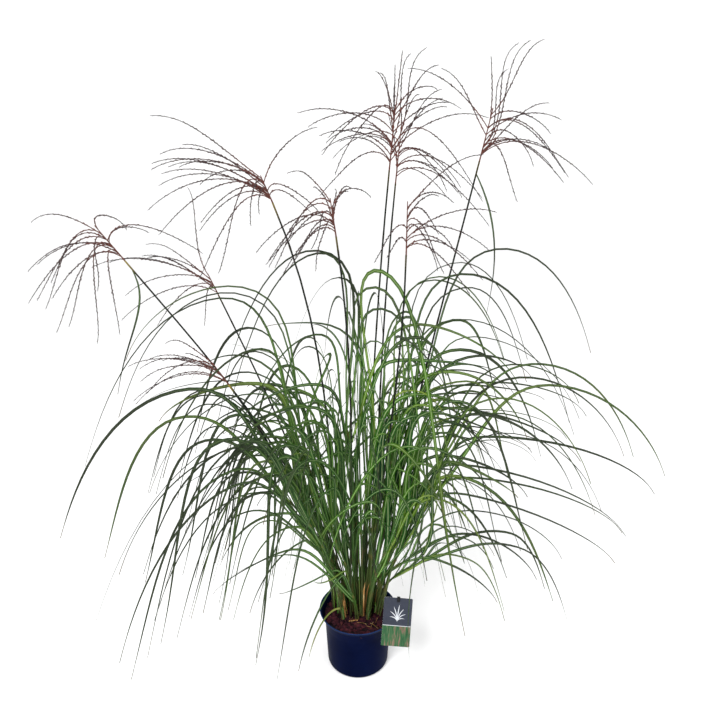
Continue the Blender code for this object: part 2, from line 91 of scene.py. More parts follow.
# The leading leaf of each shoot: its azimuth, then how far its crown and its tip are out from the
# pot's axis and up from the ground, in centimetres
LEAVES = (
    (200, 28, 100, 57, 68), (190, 35, 79, 66, 45), (204, 34, 71, 49, 40), (188, 37, 72, 58, 37),
    (222, 33, 76, 68, 37), (208, 29, 64, 55, 19), (214, 34, 74, 47, 27), (184, 27, 70, 42, 28),
    (218, 20, 73, 50, 41), (226, 23, 62, 32, 16), (211, 22, 51, 41, 30), (194, 12, 60, 23, 26),
    (234, 11, 56, 30, 17), (240, 8, 31, 26, 18), (178, 33, 74, 49, 48), (219, 10, 108, 33, 76),
    (345, 22, 76, 39, 41), (322, 6, 104, 30, 24), (301, 25, 61, 23, 14), (1, 27, 64, 69, 48),
    (7, 38, 80, 66, 54), (354, 40, 79, 67, 58), (348, 22, 57, 46, 26), (340, 33, 51, 50, 37),
    (334, 25, 47, 42, 36), (11, 29, 106, 54, 80), (352, 25, 97, 54, 61), (18, 30, 70, 55, 58),
    (262, 9, 88, 22, 62), (284, 14, 82, 30, 58), (248, 16, 78, 34, 55),
    (60, 20, 86, 44, 50), (90, 18, 92, 42, 55), (118, 22, 80, 48, 42), (146, 24, 88, 50, 50),
    (34, 26, 78, 52, 44),
)

# The flowering shoots, in centimetres: where the stem leans to, its neck, the top of the head, the
# tips of its longest racemes measured from the middle of the head, and a flag leaf or None
FLOWERS = (
    ((-6, 2, 48), (-46, -3, 105), (-51, -3, 112),
     ((-19, 10, 2), (-15, -6, -10), (-15, 4, -20), (3, -10, -15), (17, 4, -3), (8, -14, 6)),
     (184, 47, 103, 51, 76)),
    ((-6, 0, 50), (-16, -6, 117), (-18, -6, 122),
     ((-20, 0, 13), (-24, 6, -5), (-13, -4, -16), (-1, -16, -3), (9, 10, 10), (11, -8, -4)), None),
    ((-2, -2, 50), (-4, -12, 112), (-5, -12, 119),
     ((-9, 12, 6), (-15, 6, -8), (-9, -8, -9), (-3, -14, -2), (7, 14, 1)), None),
    ((-8, 5, 42), (-31, 12, 93), (-33, 12, 98),
     ((-16, 8, 7), (-26, 0, 4), (-19, -6, -6), (0, -12, -5), (-5, 6, 20)), None),
    ((-8, 0, 38), (-27, -5, 79), (-30, -5, 84),
     ((-20, 4, 0), (-14, -8, 2), (-21, 8, -11), (-14, 12, 2)), None),
    ((2, 1, 50), (6, 0, 122), (7, 0, 134),
     ((2, 8, 15), (7, -10, 13), (-2, 14, 11), (-17, -6, 5), (-13, -14, -8), (19, 8, 3)), None),
    ((4, 5, 50), (8, 15, 117), (9, 15, 129),
     ((19, 6, -10), (12, -10, -5), (20, 0, -15), (-14, 10, -2), (5, 14, 11)), None),
    ((4, -1, 50), (9, -10, 108), (9, -10, 118),
     ((12, -6, 14), (16, 4, -5), (11, -8, -10), (4, -16, 3), (-6, -8, -4)), None),
    ((7, 3, 46), (24, 5, 123), (26, 5, 133),
     ((1, 6, 14), (8, -6, 17), (-15, 4, 12), (11, -12, 4), (23, 4, -10), (4, -14, -10), (13, 14, -8)),
     (4, 27, 120, 27, 92)),
)
# How many racemes each head has in all, and the warmth of each stem's neck from green to orange
RACEMES = (16, 21, 17, 11, 10, 25, 15, 14, 18)
NECK_WARMTH = (0.75, 0.55, 0.35, 0.15, 1.0, 0.2, 0.15, 0.2, 0.2)

# What the looks add to each shoot: steps along the curves, widths in metres, and in centimetres how
# high the upright leaves crown, which arcs are slim because they stand highest, and how far a leaf
# reaches towards -Y. Shoots whose azimuths are between the crowded ones get fewer canes
LOOKS_SEED = 23
RISE_STEPS = 13
FALL_STEPS = 15
SOFTENINGS = 4
CANE_STEPS = 12
LEAD_WIDTHS = (0.0062, 0.0086)
SIDE_WIDTHS = (0.0054, 0.0082)
COMPANION_WIDTHS = (0.0036, 0.0070)
UPRIGHT_WIDTHS = (0.0056, 0.0112)
UPRIGHT_HEIGHTS = (80, 96)
FLAG_WIDTH = 0.0042
FINEST_HALF_WIDTH = 0.00075
HIGH_CROWN = 95
INNER_CROWN = 8
HIGH_SLIMNESS = 0.68
CROWDED = (178, 242)
FRONT_REACH = 44
CULM_HALF_WIDTHS = (0.0025, 0.0021)
STEM_HALF_WIDTHS = (STEM_RADIUS * 1.25, NECK_RADIUS * 1.25)
STEM_JOINTS = 0.19
RACHIS_HALF_WIDTHS = (0.0016, 0.0009)
RACEME_HALF_WIDTHS = (0.00105, 0.00060)
STRAWS = 22
OLD_LEAF = (
    (-0.030, -0.016, 0.158), (-0.052, -0.040, 0.212), (-0.094, -0.074, 0.192), (-0.118, -0.092, 0.086))

# The finer shapes of the pot, the card's print and the peg
SHARP_EDGE = radians(35)
POT_SIDES = 128
MEDIUM_SIDES = 84
BED_TOP = SOIL_TOP - 0.003
FLOOR_TOP = 0.0030
LIP_ROUND = 0.0016
WALL_STEPS = ((0.0775, 0.045), (0.0793, 0.082), (0.0808, 0.1165), (0.0812, 0.1185), (0.0822, 0.125),
              (0.0838, 0.134), (0.0854, 0.1425), (0.0862, 0.1452), (0.0905, 0.1530), (0.0922, 0.1560))
INNER_HEIGHTS = (
    0.1560, 0.1525, 0.1452, 0.1425, 0.134, 0.125, 0.1185, 0.1165, 0.082, 0.045, 0.020, FOOT_ROUND + WALL)
PRINT_THICK = 0.0002
LINE_TOP = -LABEL_HEIGHT * 0.572
LINE_HEIGHT = 0.0011
SPRIG_FOOT = -0.0560
# Each blade of the sprig: its lean in degrees, its length and its width
SPRIG = ((-62, 0.021, 0.0019), (-38, 0.029, 0.0021), (-16, 0.036, 0.0022), (5, 0.040, 0.0022),
         (26, 0.034, 0.0021), (48, 0.027, 0.0020), (70, 0.019, 0.0018))
PEG_SIDES = 20
PEG_RADII = ((0.0, 0.0013), (0.1, 0.0016), (0.85, 0.0016), (0.93, 0.0021), (0.99, 0.0021), (1.0, 0.0016))

# The studio
CAMERA_AT = (0.0, -1.45, 1.44)
CAMERA_PITCH = radians(67)
SENSOR_WIDTH = 36.0
LENS = 37.0
SIDE_SHIFT = 0.0028
LAMPS = (("key", (-1.5, -2.6, 3.3), 1.6, 150.0), ("fill", (2.3, -1.8, 2.2), 2.0, 45.0))
LIT_POINT = (0.0, 0.0, 0.6)
SKY_STRENGTH = 0.85
SKY_EXTRA_SEEN = 0.2
FLOOR_REACH = 4.0
FLOOR_CURVE = 1.5
BACKDROP_TOP = 2.6


# ---- Curves ----

def bezier(points, steps):
    """Points along a Bezier curve of any order, both ends included."""
    curve = []
    for t in np.linspace(0.0, 1.0, steps + 1):
        row = [np.array(point, float) for point in points]
        while len(row) > 1:
            row = [a + (b - a) * t for a, b in zip(row, row[1:])]
        curve.append(row[0])
    return np.array(curve)


def unit(vector):
    return np.array(vector, float) / np.linalg.norm(vector)


def heading(azimuth):
    return np.array((cos(radians(azimuth)), sin(radians(azimuth)), 0.0))


def round_spot(radius, angle, height=0.0):
    """A point round the pot's axis."""
    return np.array((radius * cos(angle), radius * sin(angle), height))


def spot_at(azimuth, out, up):
    """A point in metres, from how far out and up it is in centimetres."""
    return heading(azimuth) * out * CM + np.array((0, 0, up * CM))


def samples(path):
    """Points every few millimetres along a path of straight stretches."""
    dense = []
    for a, b in zip(path, path[1:]):
        count = max(2, int(np.linalg.norm(b - a) / SPACING) + 1)
        dense.extend(a + (b - a) * t for t in np.linspace(0.0, 1.0, count, endpoint=False))
    dense.append(path[-1])
    return dense


def leaf_path(start, along, leaf, rise_steps, fall_steps):
    """A leaf that leaves its shoot along a direction, crowns, and hangs to its tip."""
    azimuth, crown_out, crown_up, tip_out, tip_up = leaf
    out = heading(azimuth)
    crown = spot_at(azimuth, crown_out, crown_up)
    tip = spot_at(azimuth, tip_out, tip_up)
    rise = np.linalg.norm(crown - start)
    run = (tip_out - crown_out) * CM
    fall = (crown_up - tip_up) * CM
    up_side = bezier((start, start + along * rise * 0.45, crown - out * rise * 0.30, crown), rise_steps)
    hang = tip + unit(np.array((0, 0, 1)) - out * 0.35) * fall * 0.40
    down_side = bezier((crown, crown + out * max(run * 0.55, 0.03), hang, tip), fall_steps)
    return np.vstack((up_side, down_side[1:]))


def raceme_path(root, tip, rachis, steps):
    """A raceme that starts along the rachis, bends outwards and nods towards its tip."""
    reach = tip - root
    length = np.linalg.norm(reach)
    out = unit((reach[0], reach[1], 0.0))
    start = unit(rachis * 0.75 + out * 0.65)
    end = unit(out * 0.8 + np.array((0.0, 0.0, reach[2] / length - 0.55)))
    return bezier((root, root + start * length * 0.38, tip - end * length * 0.30, tip), steps)


# ---- The clump grows here exactly as it does in the part ----

class Room:
    """Keeps the pieces clear of each other: it knows where the finished ones run, how wide they are,
    and whose they are. Paths of one owner may touch, because they become one solid."""

    def __init__(self):
        self.points = {}
        self.trees = {}

    def fill(self, path, half_width, owner):
        points = self.points.setdefault(half_width, [])
        points.extend((spot, owner) for spot in samples(path))
        tree = KDTree(len(points))
        for index, (spot, _) in enumerate(points):
            tree.insert(spot, index)
        tree.balance()
        self.trees[half_width] = tree

    def is_clear(self, path, half_width, owner):
        for other, tree in self.trees.items():
            points = self.points[other]
            for spot in samples(path):
                near = tree.find_range(spot, half_width + other + SPARE)
                if any(points[index][1] != owner for _, index, _ in near):
                    return False
        return True


def label_frame():
    """Places the label: its origin is the middle of its top edge, and it leans back over the pot's lip."""
    turn = Matrix.Rotation(LABEL_LEAN, 4, "X") @ Matrix.Rotation(LABEL_TILT, 4, "Y")
    return Matrix.Translation(LABEL_TOP) @ turn


def stake_path():
    """From the growing medium inside the lip to the back of the jaws."""
    foot = np.array((*STAKE_FOOT, SOIL_TOP + FIT_GAP))
    behind = LABEL_THICK / 2 + FIT_GAP + JAW_THICK * 0.6
    head = np.array(label_frame() @ Vector((0.0, behind, -JAW_LENGTH / 2)))
    return np.array([foot, head])


def fixed_things():
    """The rim, the stake and the label, which no leaf crosses."""
    room = Room()
    rim = [round_spot(RIM_RADIUS, angle, POT_HEIGHT) for angle in np.linspace(0, tau, 65)]
    room.fill(rim, WALL, "pot")
    room.fill(stake_path(), STAKE_RADIUS, "label_stake")
    for share in np.linspace(-0.5, 0.5, 5):
        ends = [label_frame() @ Vector((LABEL_WIDTH * share, 0.0, z)) for z in (0.0, -LABEL_HEIGHT)]
        room.fill(np.array(ends), LABEL_WIDTH / 8, "plant_label")
    return room


def standing_place(reach, x, y):
    """A place on the medium in the clump's ellipse, from a share of its reach and a direction."""
    x, y = (middle + radius * reach * way for middle, radius, way in zip(CLUMP_CENTRE, CLUMP_RADII, (x, y)))
    return np.array((x, y, SOIL_TOP + FIT_GAP))


def feet(count):
    """Evenly spread standing places in the clump, the innermost first."""
    golden = pi * (3 - sqrt(5))
    return [standing_place(sqrt((number + 0.5) / count), cos(number * golden), sin(number * golden))
            for number in range(count)]


def take_foot(places, wish):
    """Takes the free standing place nearest to a wished one."""
    best = min(range(len(places)), key=lambda index: np.linalg.norm(places[index] - wish))
    return places.pop(best)


def foot_wish(azimuth, crown_out):
    """Where a shoot wants to stand: towards its leading leaf, further out for a wide one."""
    return standing_place(min(1.0, 0.45 + crown_out / 60), *heading(azimuth)[:2])


def culm_curve(foot, leaf):
    """The three control points of a shoot's culm."""
    azimuth, crown_out, crown_up, _, _ = leaf
    rise = crown_up * CM - SOIL_TOP
    top = foot * (0.7, 0.7, 0.0) + heading(azimuth) * crown_out * CM * 0.36
    top[2] = SOIL_TOP + rise * 0.55
    bend = foot + (top - foot) * (0.22, 0.22, 0.0) + np.array((0.0, 0.0, rise * 0.30))
    return foot, bend, top


def jittered(leaf, random, turn, shift):
    """The same leaf, turned a little and moved a little."""
    moves = random.uniform(-1.0, 1.0, 5) * (turn, shift, shift, shift, shift)
    return tuple(np.array(leaf, float) + moves)


def side_leaf(lead, random):
    """A further leaf of a shoot, which arches another way than the leading one. A leaf towards -Y,
    where the clump is open at the foot, is shorter and hangs less."""
    azimuth = lead[0] + random.choice((-1, 1)) * random.uniform(18, 120)
    frontal = max(0.0, -sin(radians(azimuth)))
    crown_out = random.uniform(11, 26) * (1 - 0.35 * frontal)
    crown_up = SOIL_TOP / CM + (lead[2] - SOIL_TOP / CM) * random.uniform(0.66, 0.96)
    tip_out = crown_out + random.uniform(8, 24) * (1 - 0.3 * frontal)
    tip_up = max(crown_up - random.uniform(8, 38) * (1 - 0.3 * frontal), 24 + 24 * frontal)
    crown_up = max(crown_up, tip_up + 4)
    return azimuth, crown_out, min(crown_up, 93), tip_out, min(tip_up, 85)


def find_way(make_path, half_widths, room, owner, tries):
    """The first of many tries whose paths are all clear, or None."""
    for attempt in range(tries):
        found = make_path(attempt)
        if all(room.is_clear(path, width, owner) for path, width in zip(found[0], half_widths)):
            return found
    return None


def in_metres(flower):
    """A flowering shoot's row with its points as arrays in metres."""
    lean, neck, top, tips, flag = flower
    lean, neck, top = (np.array(spot, float) * CM for spot in (lean, neck, top))
    return lean, neck, top, [np.array(tip, float) for tip in tips], flag


def grow_stem(number, flower, places, room):
    """A flowering stem's control points, and how its flag leaf leaves it."""
    lean, neck, top, _, flag = flower
    rachis = unit(top - neck)
    foot = take_foot(places, np.array((lean[0], lean[1], SOIL_TOP + FIT_GAP)))
    controls = (foot, lean, neck - rachis * 0.30 * (neck[2] - foot[2]), neck)
    owner = f"flower_stem_{number}"
    room.fill(bezier(controls, 5), STEM_RADIUS, owner)
    leaf = None
    if flag:
        fine_stem = bezier(controls, CULM_STEPS)
        away = unit(fine_stem[37] - fine_stem[36] + heading(flag[0]) * 0.02)
        leaf = (fine_stem[36], away, flag)
        room.fill(leaf_path(*leaf, 2, 3), BLADE_WIDTH / 2, owner)
    return controls, leaf


def grow_plume(number, flower, room, random):
    """The root and the tip of each of a head's longest racemes."""
    _, neck, top, tips, _ = flower
    owner = f"flower_plume_{number}"
    rachis = unit(top - neck)
    root = neck + rachis * FIT_GAP
    heart = (neck + top) / 2
    room.fill(np.array([root, top]), RACHIS_RADIUS, owner)
    racemes = []
    order = sorted(tips, key=lambda tip: tip[2])
    for place, tip in enumerate(order):
        start = root + (top - root) * (0.12 + 0.76 * place / (len(order) - 1))

        def attempt_raceme(attempt):
            move = random.uniform(-1.0, 1.0, 3) * attempt * 0.0002
            end = heart + tip * CM + move
            return (raceme_path(start, end, rachis, 4)[1:], ), end

        found = find_way(attempt_raceme, (RACEME_RADIUS, ), room, owner, RACEME_TRIES)
        if found is None:
            continue
        end = found[1]
        room.fill(raceme_path(start, end, rachis, 4), RACEME_RADIUS, owner)
        racemes.append((start, end))
    return racemes


def grow_shoots(places, room, random):
    """Every shoot's culm and leading leaf, each with its foot where its leaf wants it."""
    shoots = []
    for number, lead in enumerate(LEAVES, 1):
        owner = f"grass_tuft_{number:02d}"
        foot = take_foot(places, foot_wish(lead[0], lead[1]))

        def attempt_lead(attempt):
            leaf = jittered(lead, random, attempt * 0.06, attempt * 0.03)
            controls = culm_curve(foot, leaf)
            culm = bezier(controls, 3)
            along = unit(controls[2] - controls[1])
            return (culm, leaf_path(culm[-1], along, leaf, 3, 4)), controls, (culm[-1], along, leaf)

        found = find_way(attempt_lead, (CULM_RADIUS, BLADE_WIDTH / 2), room, owner, LEAD_TRIES)
        if found is None:
            found = attempt_lead(0)
        (culm, main), controls, leaf = found
        room.fill(culm, CULM_RADIUS, owner)
        room.fill(main, BLADE_WIDTH / 2, owner)
        shoots.append({"name": owner, "controls": controls, "lead": leaf, "sides": []})
    return shoots


def grow_side_leaves(shoots, room, random):
    """Two further leaves for each shoot, started a little way up its culm."""
    for shoot in shoots * 2:
        culm = bezier(shoot["controls"], CULM_STEPS)

        def attempt_side(attempt):
            further = side_leaf(shoot["lead"][2], random)
            place = random.integers(20, 38)
            tangent = unit(culm[place + 1] - culm[place])
            away = unit(tangent + heading(further[0]) * 0.42)
            leaf = (culm[place], away, further)
            return (leaf_path(*leaf, 2, 3), ), leaf

        found = find_way(attempt_side, (BLADE_WIDTH / 2, ), room, shoot["name"], SIDE_TRIES)
        if found is None:
            continue
        room.fill(found[0][0], BLADE_WIDTH / 2, shoot["name"])
        shoot["sides"].append(found[1])


def grow_clump():
    random = np.random.default_rng(SEED)
    room = fixed_things()
    places = feet(len(LEAVES) + len(FLOWERS))
    flowers = [in_metres(flower) for flower in FLOWERS]
    stems = [grow_stem(number, flower, places, room) for number, flower in enumerate(flowers, 1)]
    plumes = [grow_plume(number, flower, room, random) for number, flower in enumerate(flowers, 1)]
    shoots = grow_shoots(places, room, random)
    grow_side_leaves(shoots, room, random)
    return flowers, stems, plumes, shoots


# ---- Building node trees ----

class Wires:
    """Adds nodes to a tree. An input takes a plain value or another node's output, and a colour takes
    three numbers."""

    def __init__(self, tree):
        self.tree = tree

    def add(self, kind, inputs=None, **settings):
        node = self.tree.nodes.new(kind)
        for name, value in settings.items():
            setattr(node, name, value)
        for key, value in (inputs or {}).items():
            socket = node.inputs[key]
            if isinstance(value, bpy.types.NodeSocket):
                self.tree.links.new(value, socket)
            else:
                socket.default_value = (*value, 1.0) if socket.type == "RGBA" else value
        return node

    def first(self, kind, inputs=None, **settings):
        """The first output of a new node."""
        return self.add(kind, inputs, **settings).outputs[0]

    def math(self, operation, a, b=0.0, c=0.0, clamp=False):
        return self.first("ShaderNodeMath", {0: a, 1: b, 2: c}, operation=operation, use_clamp=clamp)

    def times(self, a, b):
        return self.math("MULTIPLY", a, b)

    def mixed(self, a, share, b):
        """One value times a share, and another added to it."""
        return self.math("MULTIPLY_ADD", a, share, b)

    def stretch(self, value, low, high, to_low=0.0, to_high=1.0):
        return self.first("ShaderNodeMapRange", {0: value, 1: low, 2: high, 3: to_low, 4: to_high})

    def blend(self, share, a, b):
        """A colour between two others."""
        return self.add("ShaderNodeMix", {0: share, 6: a, 7: b}, data_type="RGBA").outputs[2]

    def apart(self, vector):
        """A vector's X, Y and Z."""
        return self.add("ShaderNodeSeparateXYZ", {0: vector}).outputs

    def together(self, x=0.0, y=0.0, z=0.0):
        return self.first("ShaderNodeCombineXYZ", {0: x, 1: y, 2: z})

    def scaled(self, vector, scale):
        return self.first("ShaderNodeVectorMath", {0: vector, "Scale": scale}, operation="SCALE")

    def noise(self, scale, detail, vector=None, **more):
        spot = {} if vector is None else {"Vector": vector}
        return self.add("ShaderNodeTexNoise", {**spot, "Scale": scale, "Detail": detail, **more}).outputs

    def on_object(self):
        return self.add("ShaderNodeTexCoord").outputs["Object"]

    def attribute(self, name):
        """A piece's attribute, in a material."""
        return self.add("ShaderNodeAttribute", attribute_name=name).outputs["Fac"]

    def named(self, name, kind="FLOAT"):
        """An attribute, in a geometry tree."""
        return self.first("GeometryNodeInputNamedAttribute", {"Name": name}, data_type=kind)

    def compared(self, name, limit=0.5, operation="GREATER_THAN"):
        return self.first("FunctionNodeCompare", {0: self.named(name), 1: limit}, operation=operation)

    def stored(self, geometry, name, value, domain="POINT"):
        inputs = {"Geometry": geometry, "Name": name, "Value": value}
        return self.first("GeometryNodeStoreNamedAttribute", inputs, data_type="FLOAT", domain=domain)

    def chance(self, low, high, seed):
        return self.add("FunctionNodeRandomValue", {2: low, 3: high, "Seed": seed}).outputs[1]

    def spread(self, low, high, seed):
        """A random vector."""
        inputs = {0: low, 1: high, "Seed": seed}
        return self.first("FunctionNodeRandomValue", inputs, data_type="FLOAT_VECTOR")

    def section(self, sides, thickness=1.0, fold=0.0):
        """A swept piece's section, one half width across each way. A blade's is thin, and folded up
        along its midrib."""
        circle = self.first("GeometryNodeCurvePrimitiveCircle", {"Resolution": sides, "Radius": 1.0})
        spot = self.apart(self.first("GeometryNodeInputPosition"))
        marked = self.stored(self.stored(circle, "across", spot[0]), "upper", spot[1])
        rise = self.mixed(self.math("ABSOLUTE", spot[0]), fold, self.times(spot[1], thickness))
        moved = self.together(spot[0], rise)
        return self.first("GeometryNodeSetPosition", {"Geometry": marked, "Position": moved})

    def swept(self, curves, section, scale):
        return self.first("GeometryNodeCurveToMesh", {
            "Curve": curves, "Profile Curve": section, "Scale": scale, "Fill Caps": True})

    def finished(self, result, parts, finish, mark, other_finish, smooth=True):
        """Joins the parts and makes them real. What a mark is stored on takes the other finish."""
        join = self.add("GeometryNodeJoinGeometry")
        for part in reversed(parts):
            self.tree.links.new(part, join.inputs[0])
        whole = self.first("GeometryNodeRealizeInstances", {0: join.outputs[0]})
        if smooth:
            whole = self.first("GeometryNodeSetShadeSmooth", {0: whole})
        whole = self.first("GeometryNodeSetMaterial", {0: whole, "Material": finish})
        inputs = {0: whole, "Selection": self.compared(mark), "Material": other_finish}
        self.tree.links.new(self.first("GeometryNodeSetMaterial", inputs), result[0])
        return self.tree


def new_tree(kind, name, inputs, outputs):
    """A node tree with named inputs and outputs. An input is given as its value or its type."""
    tree = bpy.data.node_groups.new(name, kind)
    for label, value in inputs.items():
        by_value = "Int" if isinstance(value, int) else "Float"
        socket_type = "NodeSocket" + (value if isinstance(value, str) else by_value)
        socket = tree.interface.new_socket(label, in_out="INPUT", socket_type=socket_type)
        if not isinstance(value, str):
            socket.default_value = value
    for label, socket_type in outputs.items():
        tree.interface.new_socket(label, in_out="OUTPUT", socket_type="NodeSocket" + socket_type)
    return Wires(tree), tree.nodes.new("NodeGroupInput").outputs, tree.nodes.new("NodeGroupOutput").inputs


def geometry_tree(name, inputs):
    return new_tree("GeometryNodeTree", name, {"Geometry": "Geometry", **inputs}, {"Geometry": "Geometry"})


def shader_tree(name, inputs, *outputs):
    return new_tree("ShaderNodeTree", name, inputs, dict.fromkeys(outputs, "Float"))


def shown(name, data):
    """A new object in the scene."""
    thing = bpy.data.objects.new(name, data)
    bpy.context.scene.collection.objects.link(thing)
    return thing


def plain_mesh(thing):
    """The mesh that an object's modifiers make. The object itself is taken away."""
    graph = bpy.context.evaluated_depsgraph_get()
    result = bpy.data.meshes.new_from_object(thing.evaluated_get(graph))
    thing.modifiers.clear()
    bpy.data.objects.remove(thing)
    return result


def grown(name, mesh, tree, values):
    """The plain mesh that a tree makes from a mesh, with the tree's inputs set by name."""
    seed = shown(name + "_seed", mesh)
    modifier = seed.modifiers.new("Growth", "NODES")
    modifier.node_group = tree
    for item in tree.interface.items_tree:
        if item.in_out == "INPUT" and item.name in values:
            modifier[item.identifier] = values[item.name]
    result = plain_mesh(seed)
    result.name = name
    return result


def grow_piece(name, mesh, tree, values, slot, *nodes):
    place(name, grown(name, mesh, tree, values), slot, *nodes)


def place(name, mesh, slot, *nodes):
    """A finished piece of the object, which stands for CAD nodes."""
    piece = shown(name, mesh)
    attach(piece, "root")
    if nodes:
        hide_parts(*nodes)


# ---- Geometry trees ----

def grass_tree():
    """Sweeps lines into folded blades, and the lines marked as canes into jointed round canes."""
    wires, given, result = geometry_tree("grass_tuft", {
        "Blade Sides": 8, "Blade Thickness": 0.09, "Blade Fold": 0.20, "Cane Sides": 8, "Cane Step": 0.010,
        "Joint Spacing": 0.085, "Joint Reach": 0.008, "Joint Swelling": 0.22,
        "Blade Finish": "Material", "Cane Finish": "Material"})
    lines = wires.first("GeometryNodeMeshToCurve", {0: given["Geometry"]})
    parted = wires.add("GeometryNodeSeparateGeometry", {0: lines, 1: wires.compared("cane")}, domain="CURVE")
    facing = {"Curve": parted.outputs[1], "Normal": wires.named("facing", "FLOAT_VECTOR")}
    blades = wires.first("GeometryNodeSetCurveNormal", facing, mode="FREE")
    section = wires.section(given["Blade Sides"], given["Blade Thickness"], given["Blade Fold"])
    blades = wires.swept(blades, section, wires.named("half_width"))
    steps = {"Curve": parted.outputs[0], "Length": given["Cane Step"]}
    canes = wires.first("GeometryNodeResampleCurve", steps, mode="LENGTH")
    off_joint = wires.math("PINGPONG", wires.named("reach"), wires.times(given["Joint Spacing"], 0.5))
    joint = wires.math("DIVIDE", off_joint, given["Joint Reach"])
    joint = wires.math("SUBTRACT", 1.0, joint, clamp=True)
    girth = wires.times(wires.mixed(joint, given["Joint Swelling"], 1.0), wires.named("half_width"))
    canes = wires.swept(wires.stored(canes, "joint", joint), wires.section(given["Cane Sides"]), girth)
    return wires.finished(result, (blades, canes), given["Blade Finish"], "cane", given["Cane Finish"])


def plume_tree():
    """Sweeps a head's lines into stalks, and sets spikelets in a spiral along each raceme."""
    wires, given, result = geometry_tree("seed_head", {
        "Stalk Sides": 5, "Spikelet Spacing": 0.0036, "Spikelet Length": 0.0058, "Spikelet Width": 0.0020,
        "Spikelet Lean": 0.30, "Spiral Step": 2.6, "Seed": 5,
        "Stalk Finish": "Material", "Spikelet Finish": "Material"})
    lines = wires.first("GeometryNodeMeshToCurve", {0: given["Geometry"]})
    stalks = wires.swept(lines, wires.section(given["Stalk Sides"]), wires.named("half_width"))
    is_raceme = wires.compared("cane", 0.5, "LESS_THAN")
    racemes = wires.first("GeometryNodeSeparateGeometry", {0: lines, 1: is_raceme}, domain="CURVE")
    spaced = {"Curve": racemes, "Length": given["Spikelet Spacing"]}
    dots = wires.add("GeometryNodeCurveToPoints", spaced, mode="LENGTH").outputs
    index = wires.first("GeometryNodeInputIndex")
    angle = wires.mixed(index, given["Spiral Step"], wires.chance(-0.5, 0.5, given["Seed"]))
    side = wires.first("ShaderNodeVectorRotate", {
        "Vector": dots["Normal"], "Axis": dots["Tangent"], "Angle": angle}, rotation_type="AXIS_ANGLE")
    lean = wires.scaled(side, given["Spikelet Lean"])
    point_way = wires.first("ShaderNodeVectorMath", {0: dots["Tangent"], 1: lean}, operation="ADD")
    turn = wires.first("FunctionNodeAlignRotationToVector", {"Vector": point_way}, axis="Z")
    wide, long = given["Spikelet Width"], given["Spikelet Length"]
    grain = wires.first("GeometryNodeTransform", {
        "Geometry": wires.first("GeometryNodeMeshIcoSphere", {"Radius": 0.5, "Subdivisions": 1}),
        "Translation": wires.together(z=wires.times(long, 0.5)), "Scale": wires.together(wide, wide, long)})
    far_out = wires.stretch(wires.named("along"), 0.55, 1.0, 1.0, 0.62)
    seeds = wires.first("GeometryNodeInstanceOnPoints", {
        "Points": dots["Points"], "Selection": wires.compared("along", 0.06), "Instance": grain,
        "Rotation": turn, "Scale": wires.times(far_out, wires.chance(0.78, 1.22, given["Seed"]))})
    seeds = wires.stored(seeds, "tone", wires.chance(0.0, 1.0, given["Seed"]), "INSTANCE")
    seeds = wires.stored(seeds, "spikelet", 1.0, "INSTANCE")
    return wires.finished(
        result, (stalks, seeds), given["Stalk Finish"], "spikelet", given["Spikelet Finish"])


def bark_tree():
    """Scatters broken bark chips over the upward faces of the growing medium."""
    wires, given, result = geometry_tree("bark_bed", {
        "Chips Per Square Metre": 30000.0, "Chip Length": 0.0105, "Chip Width": 0.0060,
        "Chip Thickness": 0.0028, "Bed Height": 0.120, "Edge Radius": 0.0790, "Breakage": 0.0042, "Seed": 4,
        "Bed Finish": "Material", "Chip Finish": "Material"})
    spot = wires.apart(wires.first("GeometryNodeInputPosition"))
    squares = wires.math("ADD", wires.math("POWER", spot[0], 2.0), wires.math("POWER", spot[1], 2.0))
    high = wires.math("GREATER_THAN", spot[2], given["Bed Height"])
    inside = wires.math("LESS_THAN", wires.math("SQRT", squares), given["Edge Radius"])
    dots = wires.first("GeometryNodeDistributePointsOnFaces", {
        "Mesh": given["Geometry"], "Selection": wires.times(high, inside),
        "Density": given["Chips Per Square Metre"], "Seed": given["Seed"]})
    size = wires.together(given["Chip Length"], given["Chip Width"], given["Chip Thickness"])
    chip = wires.first("GeometryNodeMeshCube", {
        "Vertices X": 3, "Vertices Y": 3, "Vertices Z": 2, "Size": size})
    turn = wires.spread((-0.55, -0.55, 0.0), (0.55, 0.55, tau), given["Seed"])
    chips = wires.first("GeometryNodeInstanceOnPoints", {
        "Points": dots, "Instance": chip, "Rotation": wires.first("FunctionNodeEulerToRotation", {0: turn}),
        "Scale": wires.spread((0.45, 0.5, 0.6), (1.45, 1.3, 1.3), given["Seed"])})
    chips = wires.stored(chips, "tone", wires.chance(0.0, 1.0, given["Seed"]), "INSTANCE")
    chips = wires.stored(chips, "chip", 1.0, "INSTANCE")
    loose = wires.first("GeometryNodeRealizeInstances", {0: chips})
    rough = wires.noise(130.0, 1.0)["Color"]
    push = wires.first("ShaderNodeVectorMath", {0: rough, 1: (0.5, 0.5, 0.5)}, operation="SUBTRACT")
    broken = wires.first("GeometryNodeSetPosition", {
        "Geometry": loose, "Offset": wires.scaled(push, given["Breakage"])})
    return wires.finished(
        result, (given["Geometry"], broken), given["Bed Finish"], "chip", given["Chip Finish"], False)


# ---- Shader groups ----

